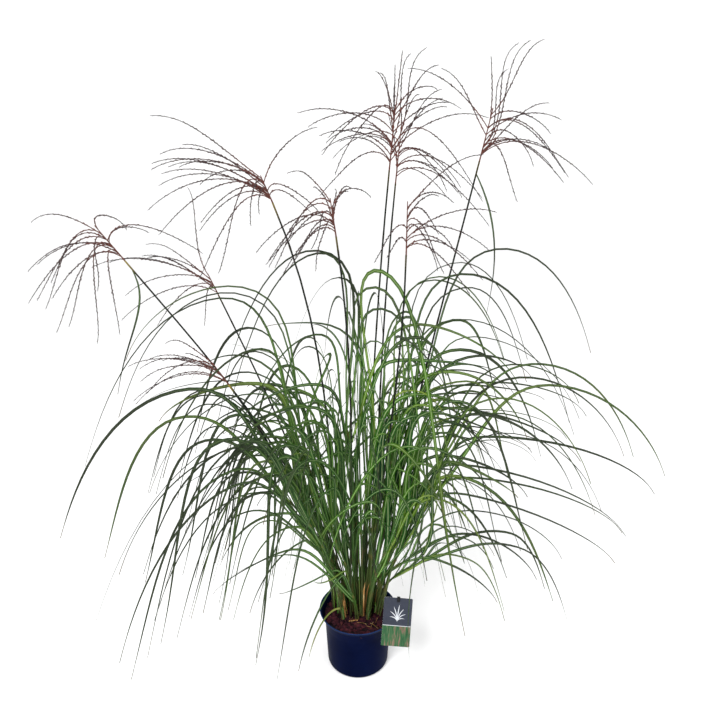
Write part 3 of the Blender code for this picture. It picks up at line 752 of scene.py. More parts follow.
def streaks_group():
    """Fine lengthwise fibres on a swept blade, cane or stalk, from how far across and along it is."""
    inputs = {"Fibres Across": 9.0, "Changes Along": 7.0}
    wires, given, result = shader_tree("plant_fibre", inputs, "Streak", "Patch")
    tone, across, along = (wires.attribute(name) for name in ("tone", "across", "along"))
    fine = wires.together(wires.times(across, given["Fibres Across"]),
                          wires.times(along, given["Changes Along"]), wires.times(tone, 40.0))
    broad = wires.together(0.0, wires.times(along, 3.0), wires.times(tone, 70.0))
    for name, spot, detail in (("Streak", fine, 3.0), ("Patch", broad, 1.0)):
        level = wires.noise(1.0, detail, spot)["Fac"]
        wires.tree.links.new(wires.stretch(level, 0.3, 0.7), result[name])
    return wires.tree


def mottle_group():
    """Uneven tone on a moulded, printed or broken surface: a broad patchiness and a fine grain."""
    inputs = {"Patch Scale": 18.0, "Grain Scale": 400.0}
    wires, given, result = shader_tree("surface_mottle", inputs, "Patch", "Grain")
    for name, detail in (("Patch", 3.0), ("Grain", 2.0)):
        level = wires.noise(given[name + " Scale"], detail, wires.on_object())["Fac"]
        wires.tree.links.new(wires.stretch(level, 0.3, 0.7), result[name])
    return wires.tree


def dust_group():
    """Splashed soil and dust: most at the foot of the pot and thinning out upwards."""
    inputs = {"Foot Height": 0.03, "Amount": 0.5}
    wires, given, result = shader_tree("soil_dust", inputs, "Dust")
    spot = wires.on_object()
    low = wires.stretch(wires.apart(spot)[2], 0.0, given["Foot Height"], 1.0, 0.0)
    speckle = wires.stretch(wires.noise(90.0, 6.0, spot, Roughness=0.7)["Fac"], 0.52, 0.72)
    whole = wires.times(wires.math("ADD", wires.times(low, 0.8), 0.25), speckle)
    wires.tree.links.new(wires.math("MULTIPLY", whole, given["Amount"], clamp=True), result["Dust"])
    return wires.tree


# ---- Finishes ----

class Finish(Wires):
    """A material's nodes, with its Principled shader ready to be wired."""

    def __init__(self, name, gloss=0.15):
        self.material = bpy.data.materials.new(name)
        self.material.use_nodes = True
        super().__init__(self.material.node_tree)
        self.shader = self.tree.nodes["Principled BSDF"]
        self.shader.inputs["Specular IOR Level"].default_value = gloss

    def group(self, tree, **values):
        inputs = {name.replace("_", " "): value for name, value in values.items()}
        return self.add("ShaderNodeGroup", inputs, node_tree=tree).outputs

    def ramp(self, value, *stops):
        """A colour ramp from (place, colour) stops."""
        node = self.add("ShaderNodeValToRGB", {0: value})
        line = node.color_ramp.elements
        while len(line) < len(stops):
            line.new(1.0)
        for element, (spot, colour) in zip(line, stops):
            element.position = spot
            element.color = (*colour, 1.0)
        return node.outputs[0]

    def done(self, colour, uneven, smooth, rough, height, strength, distance):
        """Wires colour, roughness and bump to the shader, and gives back the material."""
        bump = self.first("ShaderNodeBump", {"Height": height, "Strength": strength, "Distance": distance})
        roughness = self.stretch(uneven, 0.0, 1.0, smooth, rough)
        for name, output in (("Base Color", colour), ("Roughness", roughness), ("Normal", bump)):
            self.tree.links.new(output, self.shader.inputs[name])
        return self.material


# Colours, linear
LEAF_GREENS = ((0.0, (0.005, 0.040, 0.012)), (0.40, (0.018, 0.096, 0.010)),
               (0.72, (0.070, 0.195, 0.007)), (1.0, (0.230, 0.320, 0.018)))
LEAF_SHADOW = (0.012, 0.040, 0.014)
# The pale midrib, spread wide over the blade's lit sides as a painted highlight
LEAF_RIB_AND_HIGHLIGHT = (0.330, 0.420, 0.200)
LEAF_UNDERSIDE = (0.040, 0.085, 0.020)
# Painted shade for leaves that hang outside the clump or stand above it
LEAF_OUTER_SHADE = (0.018, 0.021, 0.014)
LEAF_TIP = (0.090, 0.060, 0.032)
STRAW = ((0.0, (0.20, 0.085, 0.030)), (0.6, (0.42, 0.22, 0.075)), (1.0, (0.55, 0.42, 0.20)))
WARM_NECK = (0.220, 0.160, 0.030)
# A cane's foot, middle, top, joints, and its fibres and painted shade. The culm's foot is its own olive
# brown, darkened further as painted shade among the crowded feet
CULM_COLOURS = ((0.110, 0.110, 0.036), (0.080, 0.135, 0.026), (0.050, 0.130, 0.014),
                (0.130, 0.090, 0.028), (0.022, 0.032, 0.012))
STEM_COLOURS = ((0.060, 0.074, 0.022), (0.030, 0.054, 0.013), (0.004, 0.006, 0.003),
                (0.020, 0.010, 0.007), (0.003, 0.005, 0.003))
# A raceme near the rachis, half way and at its tip, and its palest
STALK_COLOURS = ((0.110, 0.036, 0.026), (0.038, 0.022, 0.021), (0.018, 0.017, 0.017), (0.070, 0.048, 0.042))
SPIKELET_COLOURS = (
    (0.150, 0.044, 0.032), (0.044, 0.026, 0.025), (0.022, 0.020, 0.021), (0.120, 0.084, 0.072))
PLUM_FIBRE = (0.035, 0.020, 0.022)
NAVY = ((0.0005, 0.0020, 0.0150), (0.0014, 0.0046, 0.0290))
# Painted highlight on the top of the pot's lip
LIP_PAINTED_HIGHLIGHT = (0.016, 0.034, 0.100)
SOIL = (0.060, 0.045, 0.040)
# Dark, brown and red
BED_COLOURS = ((0.004, 0.0016, 0.003), (0.008, 0.002, 0.004), (0.015, 0.004, 0.006))
CHIP_COLOURS = ((0.005, 0.0016, 0.004), (0.024, 0.004, 0.009), (0.080, 0.014, 0.020))
CARD_GREENS = ((0.0, (0.010, 0.048, 0.018)), (0.45, (0.028, 0.088, 0.036)), (0.62, (0.052, 0.100, 0.045)),
               (0.80, (0.150, 0.080, 0.062)), (1.0, (0.170, 0.150, 0.100)))
SLATE = ((0.026, 0.030, 0.044), (0.037, 0.041, 0.059))
CARD_DUST = (0.150, 0.120, 0.100)
CARD_BACK = ((0.62, 0.62, 0.60), (0.72, 0.72, 0.70))
INK = ((0.50, 0.52, 0.56), (0.62, 0.64, 0.66))
BLACK_PLASTIC = ((0.006, 0.006, 0.007), (0.012, 0.012, 0.014))
FLOOR_WHITES = ((0.92, 0.92, 0.92), (0.95, 0.95, 0.95))


def leaf_finish(fibre):
    """Grass blade: green by shoot, a pale midrib widened into a painted highlight on its lit sides, a greyer
    underside, a browned tip. A leaf that hangs outside the clump or stands above it is darkened with
    painted shade."""
    wires = Finish("grass_leaf", 0.09)
    fibres = wires.group(fibre, Fibres_Across=9.0, Changes_Along=7.0)
    streak, patch = fibres["Streak"], fibres["Patch"]
    tone, along, dry = (wires.attribute(name) for name in ("tone", "along", "dry"))
    green = wires.ramp(wires.mixed(patch, 0.22, wires.times(tone, 0.80)), *LEAF_GREENS)
    colour = wires.blend(wires.times(streak, 0.35), green, LEAF_SHADOW)
    # A pale midrib, and a painted highlight along the lit sides next to it
    rib_and_highlight = wires.stretch(wires.math("ABSOLUTE", wires.attribute("across")), 0.08, 0.30, 1.0, 0.0)
    colour = wires.blend(wires.times(rib_and_highlight, wires.stretch(along, 0.75, 1.0, 0.85, 0.0)), colour, LEAF_RIB_AND_HIGHLIGHT)
    under = wires.stretch(wires.attribute("upper"), -0.3, 0.3, 0.45, 0.0)
    colour = wires.blend(under, colour, LEAF_UNDERSIDE)
    # Painted shade: the hanging part of a leaf outside the clump, and any leaf high above it, is darkened by
    # where it stands
    spot = wires.apart(wires.on_object())
    flat = {0: wires.together(spot[0], spot[1])}
    out = wires.add("ShaderNodeVectorMath", flat, operation="LENGTH").outputs["Value"]
    outside = wires.math("MAXIMUM", wires.stretch(out, 0.09, 0.27), wires.stretch(spot[2], 0.78, 0.94))
    hanging = wires.times(wires.stretch(along, 0.10, 0.52, 0.12, 0.92), outside)
    outer_shade = wires.math("MAXIMUM", hanging, wires.stretch(spot[2], 0.86, 1.04, 0.0, 0.65))
    colour = wires.blend(wires.times(outer_shade, wires.stretch(tone, 0.95, 0.60, 0.70, 1.0)), colour, LEAF_OUTER_SHADE)
    tip = wires.times(wires.stretch(along, 0.93, 0.985), wires.stretch(patch, 0.4, 0.9))
    colour = wires.blend(dry, wires.blend(tip, colour, LEAF_TIP), wires.ramp(patch, *STRAW))
    return wires.done(colour, streak, 0.42, 0.60, streak, 0.35, 0.0003)


def cane_finish(name, fibre, foot, middle, top, joints, fibre_and_shade):
    """Culm or stem: paler or darker towards the foot, with a ring at each joint. Canes of low tone are
    darkened with painted shade, as if deep in the clump.
    """
    wires = Finish(name)
    fibres = wires.group(fibre, Fibres_Across=5.0, Changes_Along=16.0)
    streak, along = fibres["Streak"], wires.attribute("along")
    share = wires.mixed(fibres["Patch"], 0.16, wires.math("SUBTRACT", along, 0.08))
    # Along the cane: the culm's dark foot is partly painted shade where the feet crowd
    colour = wires.ramp(share, (0.0, foot), (0.35, middle), (0.62, top))
    colour = wires.blend(wires.times(streak, 0.45), colour, fibre_and_shade)
    # Painted shade: a cane of low tone is darkened along its whole length, as if deep in the clump
    colour = wires.blend(wires.stretch(wires.attribute("tone"), 0.2, 0.85, 0.75, 0.0), colour, fibre_and_shade)
    neck = wires.times(wires.stretch(along, 0.965, 0.995), wires.attribute("dry"))
    colour = wires.blend(neck, colour, WARM_NECK)
    colour = wires.blend(wires.times(wires.attribute("joint"), 0.7), colour, joints)
    return wires.done(colour, streak, 0.38, 0.58, streak, 0.3, 0.0003)


def raceme_finish(name, fibre, near, middle, far, pale):
    """Flower head: red-brown near the rachis, mauve grey towards the tips."""
    wires = Finish(name)
    streak = wires.group(fibre, Fibres_Across=4.0, Changes_Along=30.0)["Streak"]
    tone = wires.attribute("tone")
    body = wires.ramp(wires.attribute("along"), (0.0, near), (0.38, middle), (1.0, far))
    mixed = wires.blend(wires.times(wires.stretch(tone, 0.55, 1.0), 0.65), body, pale)
    colour = wires.blend(wires.times(streak, 0.35), mixed, PLUM_FIBRE)
    return wires.done(colour, tone, 0.55, 0.80, streak, 0.25, 0.0002)


def pot_finish(mottle, dust):
    """Navy moulded plastic: slightly cloudy, with a painted highlight on the top of the lip, and a little
    soil dust.
    """
    wires = Finish("pot_plastic", 0.010)
    cloud = wires.group(mottle, Patch_Scale=14.0, Grain_Scale=620.0)
    soil = wires.group(dust, Foot_Height=0.012, Amount=0.05)["Dust"]
    navy = wires.blend(wires.times(cloud["Patch"], 0.5), *NAVY)
    # Painted highlight: the top of the rolled lip is painted paler blue, where the light from above catches
    # it
    lip_highlight = wires.stretch(wires.apart(wires.on_object())[2], 0.1535, 0.1590)
    colour = wires.blend(soil, wires.blend(wires.times(lip_highlight, 0.75), navy, LIP_PAINTED_HIGHLIGHT), SOIL)
    uneven = wires.math("ADD", soil, wires.times(cloud["Grain"], 0.3))
    return wires.done(colour, uneven, 0.34, 0.72, cloud["Grain"], 0.12, 0.0002)


def bark_finish(name, mottle, dark, brown, red):
    """Bark and coir: each chip has its own tone, with a rough broken grain."""
    wires = Finish(name)
    cloud = wires.group(mottle, Patch_Scale=120.0, Grain_Scale=900.0)
    share = wires.mixed(cloud["Patch"], 0.35, wires.times(wires.attribute("tone"), 0.75))
    body = wires.ramp(share, (0.0, dark), (0.5, brown), (1.0, red))
    colour = wires.blend(wires.times(cloud["Grain"], 0.45), body, dark)
    return wires.done(colour, cloud["Grain"], 0.62, 0.95, cloud["Patch"], 0.7, 0.0012)


def label_finish(mottle, dust):
    """Printed card: a slate panel above a panel of blurred grass greens, and a plain pale back."""
    wires = Finish("label_card")
    paper = wires.group(mottle, Patch_Scale=60.0, Grain_Scale=1500.0)
    soil = wires.group(dust, Foot_Height=0.30, Amount=0.10)["Dust"]
    spot = wires.first("ShaderNodeUVMap", uv_map="card")
    blades = wires.first("ShaderNodeMapping", {"Vector": spot, "Scale": (13.0, 3.4, 1.0)})
    bent = wires.stretch(wires.noise(1.0, 4.0, blades, Distortion=0.9)["Fac"], 0.28, 0.72)
    slate = wires.blend(wires.times(paper["Patch"], 0.5), *SLATE)
    in_top = wires.stretch(wires.apart(spot)[1], 0.425, 0.430)
    panels = wires.blend(in_top, wires.ramp(bent, *CARD_GREENS), slate)
    back = wires.blend(paper["Grain"], *CARD_BACK)
    colour = wires.blend(wires.attribute("printed"), back, wires.blend(soil, panels, CARD_DUST))
    return wires.done(colour, paper["Grain"], 0.32, 0.46, paper["Grain"], 0.08, 0.0002)


def plain_finish(name, mottle, dark, light, smooth, rough):
    """A moulded or printed surface of one colour, slightly uneven."""
    wires = Finish(name)
    cloud = wires.group(mottle, Patch_Scale=40.0, Grain_Scale=900.0)
    colour = wires.blend(cloud["Patch"], dark, light)
    return wires.done(colour, cloud["Grain"], smooth, rough, cloud["Grain"], 0.1, 0.0002)


# ---- Lines for the trees to sweep ----

def reach_along(path):
    """How far along a path each of its points is."""
    return np.concatenate(([0.0], np.cumsum(np.linalg.norm(np.diff(path, axis=0), axis=1))))


def shares(path):
    reach = reach_along(path)
    return reach / reach[-1]


def units(vectors):
    return vectors / np.linalg.norm(vectors, axis=1)[:, None]


class Lines:
    """Open lines gathered into one mesh, with values at their points for a tree to read."""

    def __init__(self):
        self.points, self.edges, self.facing = [], [], []
        self.values = {name: [] for name in ("along", "half_width", "tone", "dry", "cane", "reach")}

    def add(self, path, half_widths, facing=(0.0, 0.0, 1.0), tone=0.5, dry=0.0, cane=0.0, along=None):
        first, count = len(self.points), len(path)
        self.points.extend(path)
        self.edges.extend((first + index, first + index + 1) for index in range(count - 1))
        self.facing.extend(np.broadcast_to(facing, (count, 3)))
        values = {"along": shares(path) if along is None else along, "half_width": half_widths,
                  "tone": tone, "dry": dry, "cane": cane, "reach": reach_along(path)}
        for name, value in values.items():
            self.values[name].extend(np.broadcast_to(value, (count, )))

    def mesh(self):
        mesh = bpy.data.meshes.new("lines")
        mesh.from_pydata([tuple(spot) for spot in self.points], self.edges, [])
        for key, values in self.values.items():
            attribute = mesh.attributes.new(key, "FLOAT", "POINT")
            attribute.data.foreach_set("value", np.array(values, np.float32))
        facing = mesh.attributes.new("facing", "FLOAT_VECTOR", "POINT")
        facing.data.foreach_set("vector", np.array(self.facing, np.float32).ravel())
        return mesh


def flag_path(controls, leaf):
    """A flag leaf: it forks from its stem just under the head, sways out and hangs to its tip."""
    azimuth, _, _, tip_out, tip_up = leaf
    start = bezier(controls, CULM_STEPS)[-2]
    tip = spot_at(azimuth, tip_out, tip_up)
    fall = start[2] - tip[2]
    leaving = start + np.array((0.042, 0, -0.25 * fall))
    hanging = tip + np.array((0.024, 0, 0.45 * fall))
    return bezier((start, leaving, hanging, tip), FALL_STEPS)


def add_blade(lines, leaf, width, random, dry=0.0, tone=None, path=None):
    """A blade along a leaf's curve: sheathing and narrow at first, then broad, then a long fine tip. It
    turns a little about its own line on the way out."""
    if path is None:
        path = leaf_path(*leaf, RISE_STEPS, FALL_STEPS)
    for _ in range(SOFTENINGS):
        path[1:-1] = (path[:-2] + 2 * path[1:-1] + path[2:]) / 4
    share = shares(path)
    sheathed = 0.58 + 0.42 * np.sin(np.clip(share / 0.30, 0, 1) * pi / 2)
    half_widths = np.maximum(sheathed * (1 - share ** 3.2) ** 0.8 * width / 2, FINEST_HALF_WIDTH)
    tangents = np.gradient(path, axis=0)
    upper = units(np.cross(tangents, heading(leaf[2][0] + 90)))
    side = units(np.cross(tangents, upper))
    twist = share * random.uniform(-0.9, 0.9) + random.uniform(-0.25, 0.25)
    facing = upper * np.cos(twist)[:, None] + side * np.sin(twist)[:, None]
    if tone is None:
        tone = float(np.clip(random.normal(0.48, 0.28), 0.02, 0.98))
    lines.add(path, half_widths, facing, tone, dry)


def along_culm(controls, place, azimuth, splay):
    """Where a leaf leaves a culm, and which way."""
    culm = bezier(controls, CULM_STEPS)
    tangent = unit(culm[place + 1] - culm[place])
    return culm[place], unit(tangent + heading(azimuth) * splay)


def add_clear_blade(lines, make_leaf, widths, keep_off, random, tries=12):
    """Adds a leaf that doesn't cross the rim, the stake or the label, if one is found."""
    for _ in range(tries):
        leaf = make_leaf()
        if keep_off.is_clear(leaf_path(*leaf, 3, 4), BLADE_WIDTH / 2, "leaf"):
            add_blade(lines, leaf, random.uniform(*widths), random)
            return


def companion_leaf(shoot, random):
    """A leaf that follows the shoot's leading leaf, a little shorter and turned a little."""
    _, _, lead = shoot["lead"]
    azimuth = lead[0] + random.uniform(-24, 24)
    size = random.uniform(0.78, 1.0)
    frontal = max(0.0, -sin(radians(azimuth)))
    crown_out = lead[1] * size * random.uniform(0.8, 1.05)
    crown_up = SOIL_TOP / CM + (lead[2] - SOIL_TOP / CM) * random.uniform(0.80, 1.02)
    tip_out = crown_out + (lead[3] - lead[1]) * size * random.uniform(0.7, 1.0)
    tip_up = crown_up - (lead[2] - lead[4]) * random.uniform(0.55, 1.0)
    leaf = (azimuth, crown_out, crown_up, tip_out, max(tip_up, 16 + 26 * frontal))
    return *along_culm(shoot["controls"], random.integers(16, 39), azimuth, 0.30), leaf


def upright_leaf(controls, height, random):
    """A leaf of the dense middle: it follows its cane up and outwards, and only its end nods."""
    cane_out = np.linalg.norm(controls[2][:2]) / CM
    azimuth = np.degrees(np.arctan2(controls[2][1], controls[2][0])) + random.uniform(-40, 40)
    crown_up = SOIL_TOP / CM + (height - SOIL_TOP / CM) * random.uniform(0.70, 1.0)
    crown_out = cane_out * random.uniform(0.9, 1.4) + random.uniform(3, 9)
    front_limit = FRONT_REACH / max(-sin(radians(azimuth)), 0.1)
    tip_out = min(crown_out + random.uniform(8, 22), front_limit)
    tip_up = crown_up - random.uniform(0, 11)
    leaf = (azimuth, crown_out, max(crown_up, tip_up + 1), tip_out, tip_up)
    return *along_culm(controls, random.integers(10, 36), azimuth, 0.08), leaf


def tiller(foot, shoot, random):
    """A young cane beside a shoot's culm, a little shorter."""
    old_foot, bend, top = shoot["controls"]
    share = random.uniform(0.55, 0.95)
    lean = (share * random.uniform(0.5, 1.0), share * random.uniform(0.5, 1.0), share)
    return foot, foot + (bend - old_foot) * share, foot + (top - old_foot) * lean


def add_cane(lines, controls, half_widths, tone, dry=0.0):
    path = bezier(controls, CANE_STEPS)
    foot, top = half_widths
    lines.add(path, foot + (top - foot) * shares(path), tone=tone, dry=dry, cane=1.0)


def add_sheath(lines, controls, random, dry):
    """A short old sheath that hugs a culm's foot and stands off at its tip."""
    culm = bezier(controls, CULM_STEPS)
    out = heading(random.uniform(0, 360))
    reach = random.integers(4, 12)
    path = np.array([culm[i] + out * (0.0024 + 0.006 * (i / reach) ** 3) for i in range(reach + 1)])
    half_widths = np.maximum(0.0031 * (1 - shares(path) ** 3), 0.0003)
    lines.add(path, half_widths, out, random.uniform(0.1, 0.9), dry)


def tuft_lines(shoot, keep_off, random):
    """All the lines of one tuft: its culm, its leaves, its tillers and the old sheaths at their feet."""
    lines = Lines()
    controls = shoot["controls"]
    _, _, (azimuth, crown_out, crown_up, _, _) = shoot["lead"]
    crowded = CROWDED[0] < azimuth < CROWDED[1]
    slimness = HIGH_SLIMNESS if crown_up > HIGH_CROWN and crown_out > INNER_CROWN else 1.0
    add_cane(lines, controls, CULM_HALF_WIDTHS, random.uniform(0.25, 0.75))
    add_blade(lines, shoot["lead"], slimness * random.uniform(*LEAD_WIDTHS), random)
    for leaf in shoot["sides"]:
        add_blade(lines, leaf, random.uniform(*SIDE_WIDTHS), random)
    canes = [controls]
    for _ in range(1 if crowded else 2):
        turn = random.uniform(0, tau)
        foot = controls[0] + round_spot(1.0, turn) * random.uniform(0.0055, 0.0085)
        canes.append(tiller(foot, shoot, random))
        add_cane(lines, canes[-1], (random.uniform(0.0016, 0.0022), 0.0013), random.uniform(0.3, 0.9))
    for _ in range(3 if abs(cos(radians(azimuth))) > 0.6 else 2):
        add_clear_blade(lines, lambda: companion_leaf(shoot, random), COMPANION_WIDTHS, keep_off, random)
    height = np.clip(crown_up, *UPRIGHT_HEIGHTS)
    for cane in canes[:1] if crowded else canes[:2]:
        add_clear_blade(lines, lambda: upright_leaf(cane, height, random), UPRIGHT_WIDTHS, keep_off, random)
    for cane in canes:
        add_sheath(lines, cane, random, float(random.random() < 0.30))
    return lines


def stem_lines(stem, warmth, random):
    """A flowering stem with its flag leaf, and an old sheath at its foot."""
    lines = Lines()
    controls, flag = stem
    add_cane(lines, controls, STEM_HALF_WIDTHS, random.uniform(0.35, 0.65), warmth)
    if flag:
        add_blade(lines, flag, FLAG_WIDTH, random, tone=0.0, path=flag_path(controls, flag[2]))
    add_sheath(lines, controls, random, 0.0)
    return lines


def further_raceme(neck, top, racemes, random):
    """A raceme between two of the long ones, the first taken the way the head leans."""
    heart = (neck + top) / 2
    lean = (top - neck) * (1, 1, 0) / np.linalg.norm(top - neck)
    reaches = [end - heart for _, end in racemes]
    pull = np.array([np.exp(3.0 * np.dot(unit(reach), lean)) for reach in reaches])
    first = random.choice(len(reaches), p=pull / pull.sum())
    near = np.clip([np.dot(unit(reach), unit(reaches[first])) for reach in reaches], 0.02, 1.0) ** 2
    near[first] = 0.0
    second = random.choice(len(reaches), p=near / near.sum())
    share = random.uniform(0.15, 0.75)
    one, other = reaches[first], reaches[second]
    between = unit(one) * (1 - share) + unit(other) * share
    length = np.linalg.norm(one) * (1 - share) + np.linalg.norm(other) * share
    turn = Matrix.Rotation(radians(random.uniform(-25, 25)), 3, "Z")
    reach = np.array(turn @ Vector(unit(between))) * length * random.uniform(0.62, 1.0)
    return neck + (top - neck) * random.uniform(0.10, 0.92), heart + reach


def plume_lines(flower, racemes, count, random):
    """A head's rachis, its long racemes, and further ones between them."""
    lines = Lines()
    _, neck, top, _, _ = flower
    rachis = unit(top - neck)
    spine = bezier((neck, (neck + top) / 2, top), 8)
    lines.add(spine, np.linspace(*RACHIS_HALF_WIDTHS, 9), tone=0.4, cane=1.0, along=np.zeros(9))
    everyone = list(racemes)
    while len(everyone) < count:
        everyone.append(further_raceme(neck, top, racemes, random))
    for start, end in everyone:
        path = raceme_path(start, end, rachis, 16)
        share = shares(path)[:, None]
        sway = np.cross(unit(end - start), (0.0, 0.0, 1.0)) * random.uniform(-0.006, 0.006)
        path = path + np.sin(share * tau) * sway * share
        half_widths = np.linspace(*RACEME_HALF_WIDTHS, len(path))
        lines.add(path, half_widths, tone=random.uniform(0.2, 0.8))
    return lines


# ---- The pot, its medium, its label and the stake ----

def mesh_from(builder, smooth_below=SHARP_EDGE):
    """A mesh from a bmesh: faces outwards, smooth except at its real edges."""
    bmesh.ops.recalc_face_normals(builder, faces=builder.faces)
    mesh = bpy.data.meshes.new("shape")
    builder.to_mesh(mesh)
    builder.free()
    mesh.shade_smooth()
    mesh.set_sharp_from_angle(angle=smooth_below)
    return mesh


def bridge(builder, rings, sides):
    """Faces between rings of points. A ring may be one point, on the axis."""
    for low, high in zip(rings, rings[1:]):
        for side in range(sides):
            after = (side + 1) % sides
            corners = [low[side % len(low)], low[after % len(low)],
                       high[after % len(high)], high[side % len(high)]]
            builder.faces.new(list(dict.fromkeys(corners)))


def turned(outline, sides):
    """A solid of revolution from a closed outline whose ends are on the axis."""
    builder = bmesh.new()
    rings = []
    for radius, height in outline:
        angles = [tau * side / sides for side in range(sides if radius else 1)]
        rings.append([builder.verts.new(round_spot(radius, angle, height)) for angle in angles])
    bridge(builder, rings, sides)
    return builder


def plate(builder, outline, front, thick):
    """A flat plate: its outline in X and Z, the Y of its front, and how thick it is behind that."""
    face = builder.faces.new([builder.verts.new((x, front, z)) for x, z in outline])
    depth = bmesh.ops.extrude_face_region(builder, geom=[face])["geom"]
    moved = [item for item in depth if isinstance(item, bmesh.types.BMVert)]
    bmesh.ops.translate(builder, verts=moved, vec=(0.0, thick, 0.0))


def soften_edges(builder, offset):
    bmesh.ops.bevel(
        builder, geom=builder.edges[:], offset=offset, segments=2, affect="EDGES", clamp_overlap=True)


def wall_outline():
    """Half the pot's outer section, from the foot to under the lip: radius and height."""
    outline = []
    for step in range(9):
        angle = -pi / 2 + step * pi / 16
        outline.append((BASE_RADIUS + FOOT_ROUND * cos(angle), FOOT_ROUND * (1 + sin(angle))))
    return [*outline, *WALL_STEPS]


def inner_radius(height, gap=0.0):
    radii, heights = zip(*wall_outline())
    return float(np.interp(height, heights, radii)) - WALL - gap


def make_pot(material):
    """The moulded pot: rounded foot, slightly flared wall with a stacking step, rolled lip, drain holes."""
    outline = [(0.0, 0.0014), (0.030, 0.0014), (0.0445, 0.0014), (0.0452, 0.0), *wall_outline()]
    for step in range(7):
        angle = -0.9 + step * (pi / 2 + 0.9) / 6
        radius = RIM_RADIUS - LIP_ROUND + LIP_ROUND * cos(angle)
        outline.append((radius, POT_HEIGHT - LIP_ROUND + LIP_ROUND * sin(angle)))
    outline += [(0.0930, POT_HEIGHT - 0.0003), (0.0925, POT_HEIGHT - 0.0012)]
    outline += [(inner_radius(height), height) for height in INNER_HEIGHTS]
    outline += [(0.0720, 0.0056), (0.0685, 0.0036), (BASE_RADIUS - 0.001, FLOOR_TOP), (0.0, FLOOR_TOP)]
    pot = shown("pot_body", mesh_from(turned(outline, POT_SIDES)))
    drills = bmesh.new()
    for number in range(DRAIN_HOLES):
        spot = Matrix.Translation(round_spot(DRAIN_RING, tau * (number + 0.5) / DRAIN_HOLES))
        bmesh.ops.create_cone(drills, segments=24, radius1=DRAIN_RADIUS, radius2=DRAIN_RADIUS, depth=0.012,
                              cap_ends=True, matrix=spot)
    drill = shown("pot_drills", mesh_from(drills))
    cut = pot.modifiers.new("Drain holes", "BOOLEAN")
    cut.operation, cut.solver, cut.object = "DIFFERENCE", "EXACT", drill
    mesh = plain_mesh(pot)
    bpy.data.objects.remove(drill)
    mesh.set_sharp_from_angle(angle=SHARP_EDGE)
    mesh.materials.clear()
    mesh.materials.append(material)
    place("nursery_pot", mesh, "pot_plastic", "pot")


def make_medium(tree, bed, chip):
    """The growing medium: an uneven top inside the pot, strewn with bark chips."""
    edge = inner_radius(BED_TOP, 2 * FIT_GAP)
    outline = [(0.0, FLOOR_TOP + FIT_GAP), (BASE_RADIUS - 0.0018, FLOOR_TOP + FIT_GAP)]
    outline += [(inner_radius(height, 2 * FIT_GAP), height) for height in (FOOT_ROUND + WALL, 0.118)]
    outline += [(edge * share, BED_TOP) for share in np.linspace(1.0, 0.04, 26)]
    builder = turned([*outline, (0.0, BED_TOP)], MEDIUM_SIDES)
    for vertex in builder.verts:
        spot = vertex.co
        if spot.z > 0.125:
            away = min(1.0, (edge - Vector((spot.x, spot.y)).length) / 0.010)
            rough = noise.fractal(Vector((spot.x, spot.y, 0.3)) * 55, 1.0, 2.0, 4)
            spot.z += (rough * 0.0032 + 0.0012) * max(away, 0.0)
    values = {"Bed Finish": bed, "Chip Finish": chip}
    grow_piece("growing_bed", mesh_from(builder), tree, values, "bark_medium", "growing_medium")


def make_litter(tree, leaf):
    """Dry straws and torn sheaths lying on the medium, and one old leaf bent over the lip."""
    random = np.random.default_rng(LOOKS_SEED + 1)
    lines = Lines()
    for number in range(STRAWS):
        angle, reach = random.uniform(0, tau), 0.072 * sqrt(random.random())
        middle = round_spot(reach, angle, SOIL_TOP + random.uniform(0.0035, 0.0075))
        way = heading(random.uniform(0, 360)) * random.uniform(0.006, 0.017)
        bow = heading(random.uniform(0, 360)) * 0.006 + np.array((0, 0, random.uniform(0.001, 0.006)))
        path = bezier((middle - way, middle + bow, middle + way), 7)
        drawn_in = np.minimum(1.0, 0.080 / np.linalg.norm(path[:, :2], axis=1))
        path *= drawn_in[:, None] * (1, 1, 0) + (0, 0, 1)
        wide = 0.00045 if number % 3 else 0.0016
        lines.add(path, wide, (0.1, 0.2, 1.0), random.random(), random.uniform(0.75, 1.0))
    old = bezier(OLD_LEAF, 18)
    facing = units(np.cross(np.gradient(old, axis=0), unit((0.62, -0.78, 0.0))))
    half_widths = np.maximum(0.0036 * (1 - shares(old) ** 2.2) ** 0.8, 0.0004)
    lines.add(old, half_widths, facing, 0.97, 0.18)
    values = {"Blade Finish": leaf, "Cane Finish": leaf, "Blade Sides": 6}
    grow_piece("dry_litter", lines.mesh(), tree, values, "grass_leaf")


def card_outline(width, height, corner, steps):
    """A card with round corners, in X and Z. Its origin is the middle of its top edge."""
    outline = []
    for x_side, z_side, first in ((1, 0, 0.0), (-1, 0, 0.25), (-1, -1, 0.5), (1, -1, 0.75)):
        centre_x = x_side * (width / 2 - corner)
        centre_z = z_side * (height - 2 * corner) - corner
        for step in range(steps + 1):
            angle = tau * (first + step / (4 * steps))
            outline.append((centre_x + corner * cos(angle), centre_z + corner * sin(angle)))
    return outline


def blade_outline(lean, reach, wide):
    """One blade of the printed sprig, in X and Z: it springs from the sprig's foot and bends over."""
    rim = []
    for step in range(-10, 10):
        share = 1 - abs(step) / 10
        side = 1 if step > 0 else -1
        bend = radians(lean) * (0.25 + 0.75 * share)
        half = wide / 2 * sin(pi * min(share * 0.94 + 0.03, 1.0)) ** 0.8 * (side if share < 1 else 0)
        x = sin(bend) * reach * share + half * cos(bend)
        rim.append((x, SPRIG_FOOT + cos(bend) * reach * share - half * sin(bend)))
    return rim


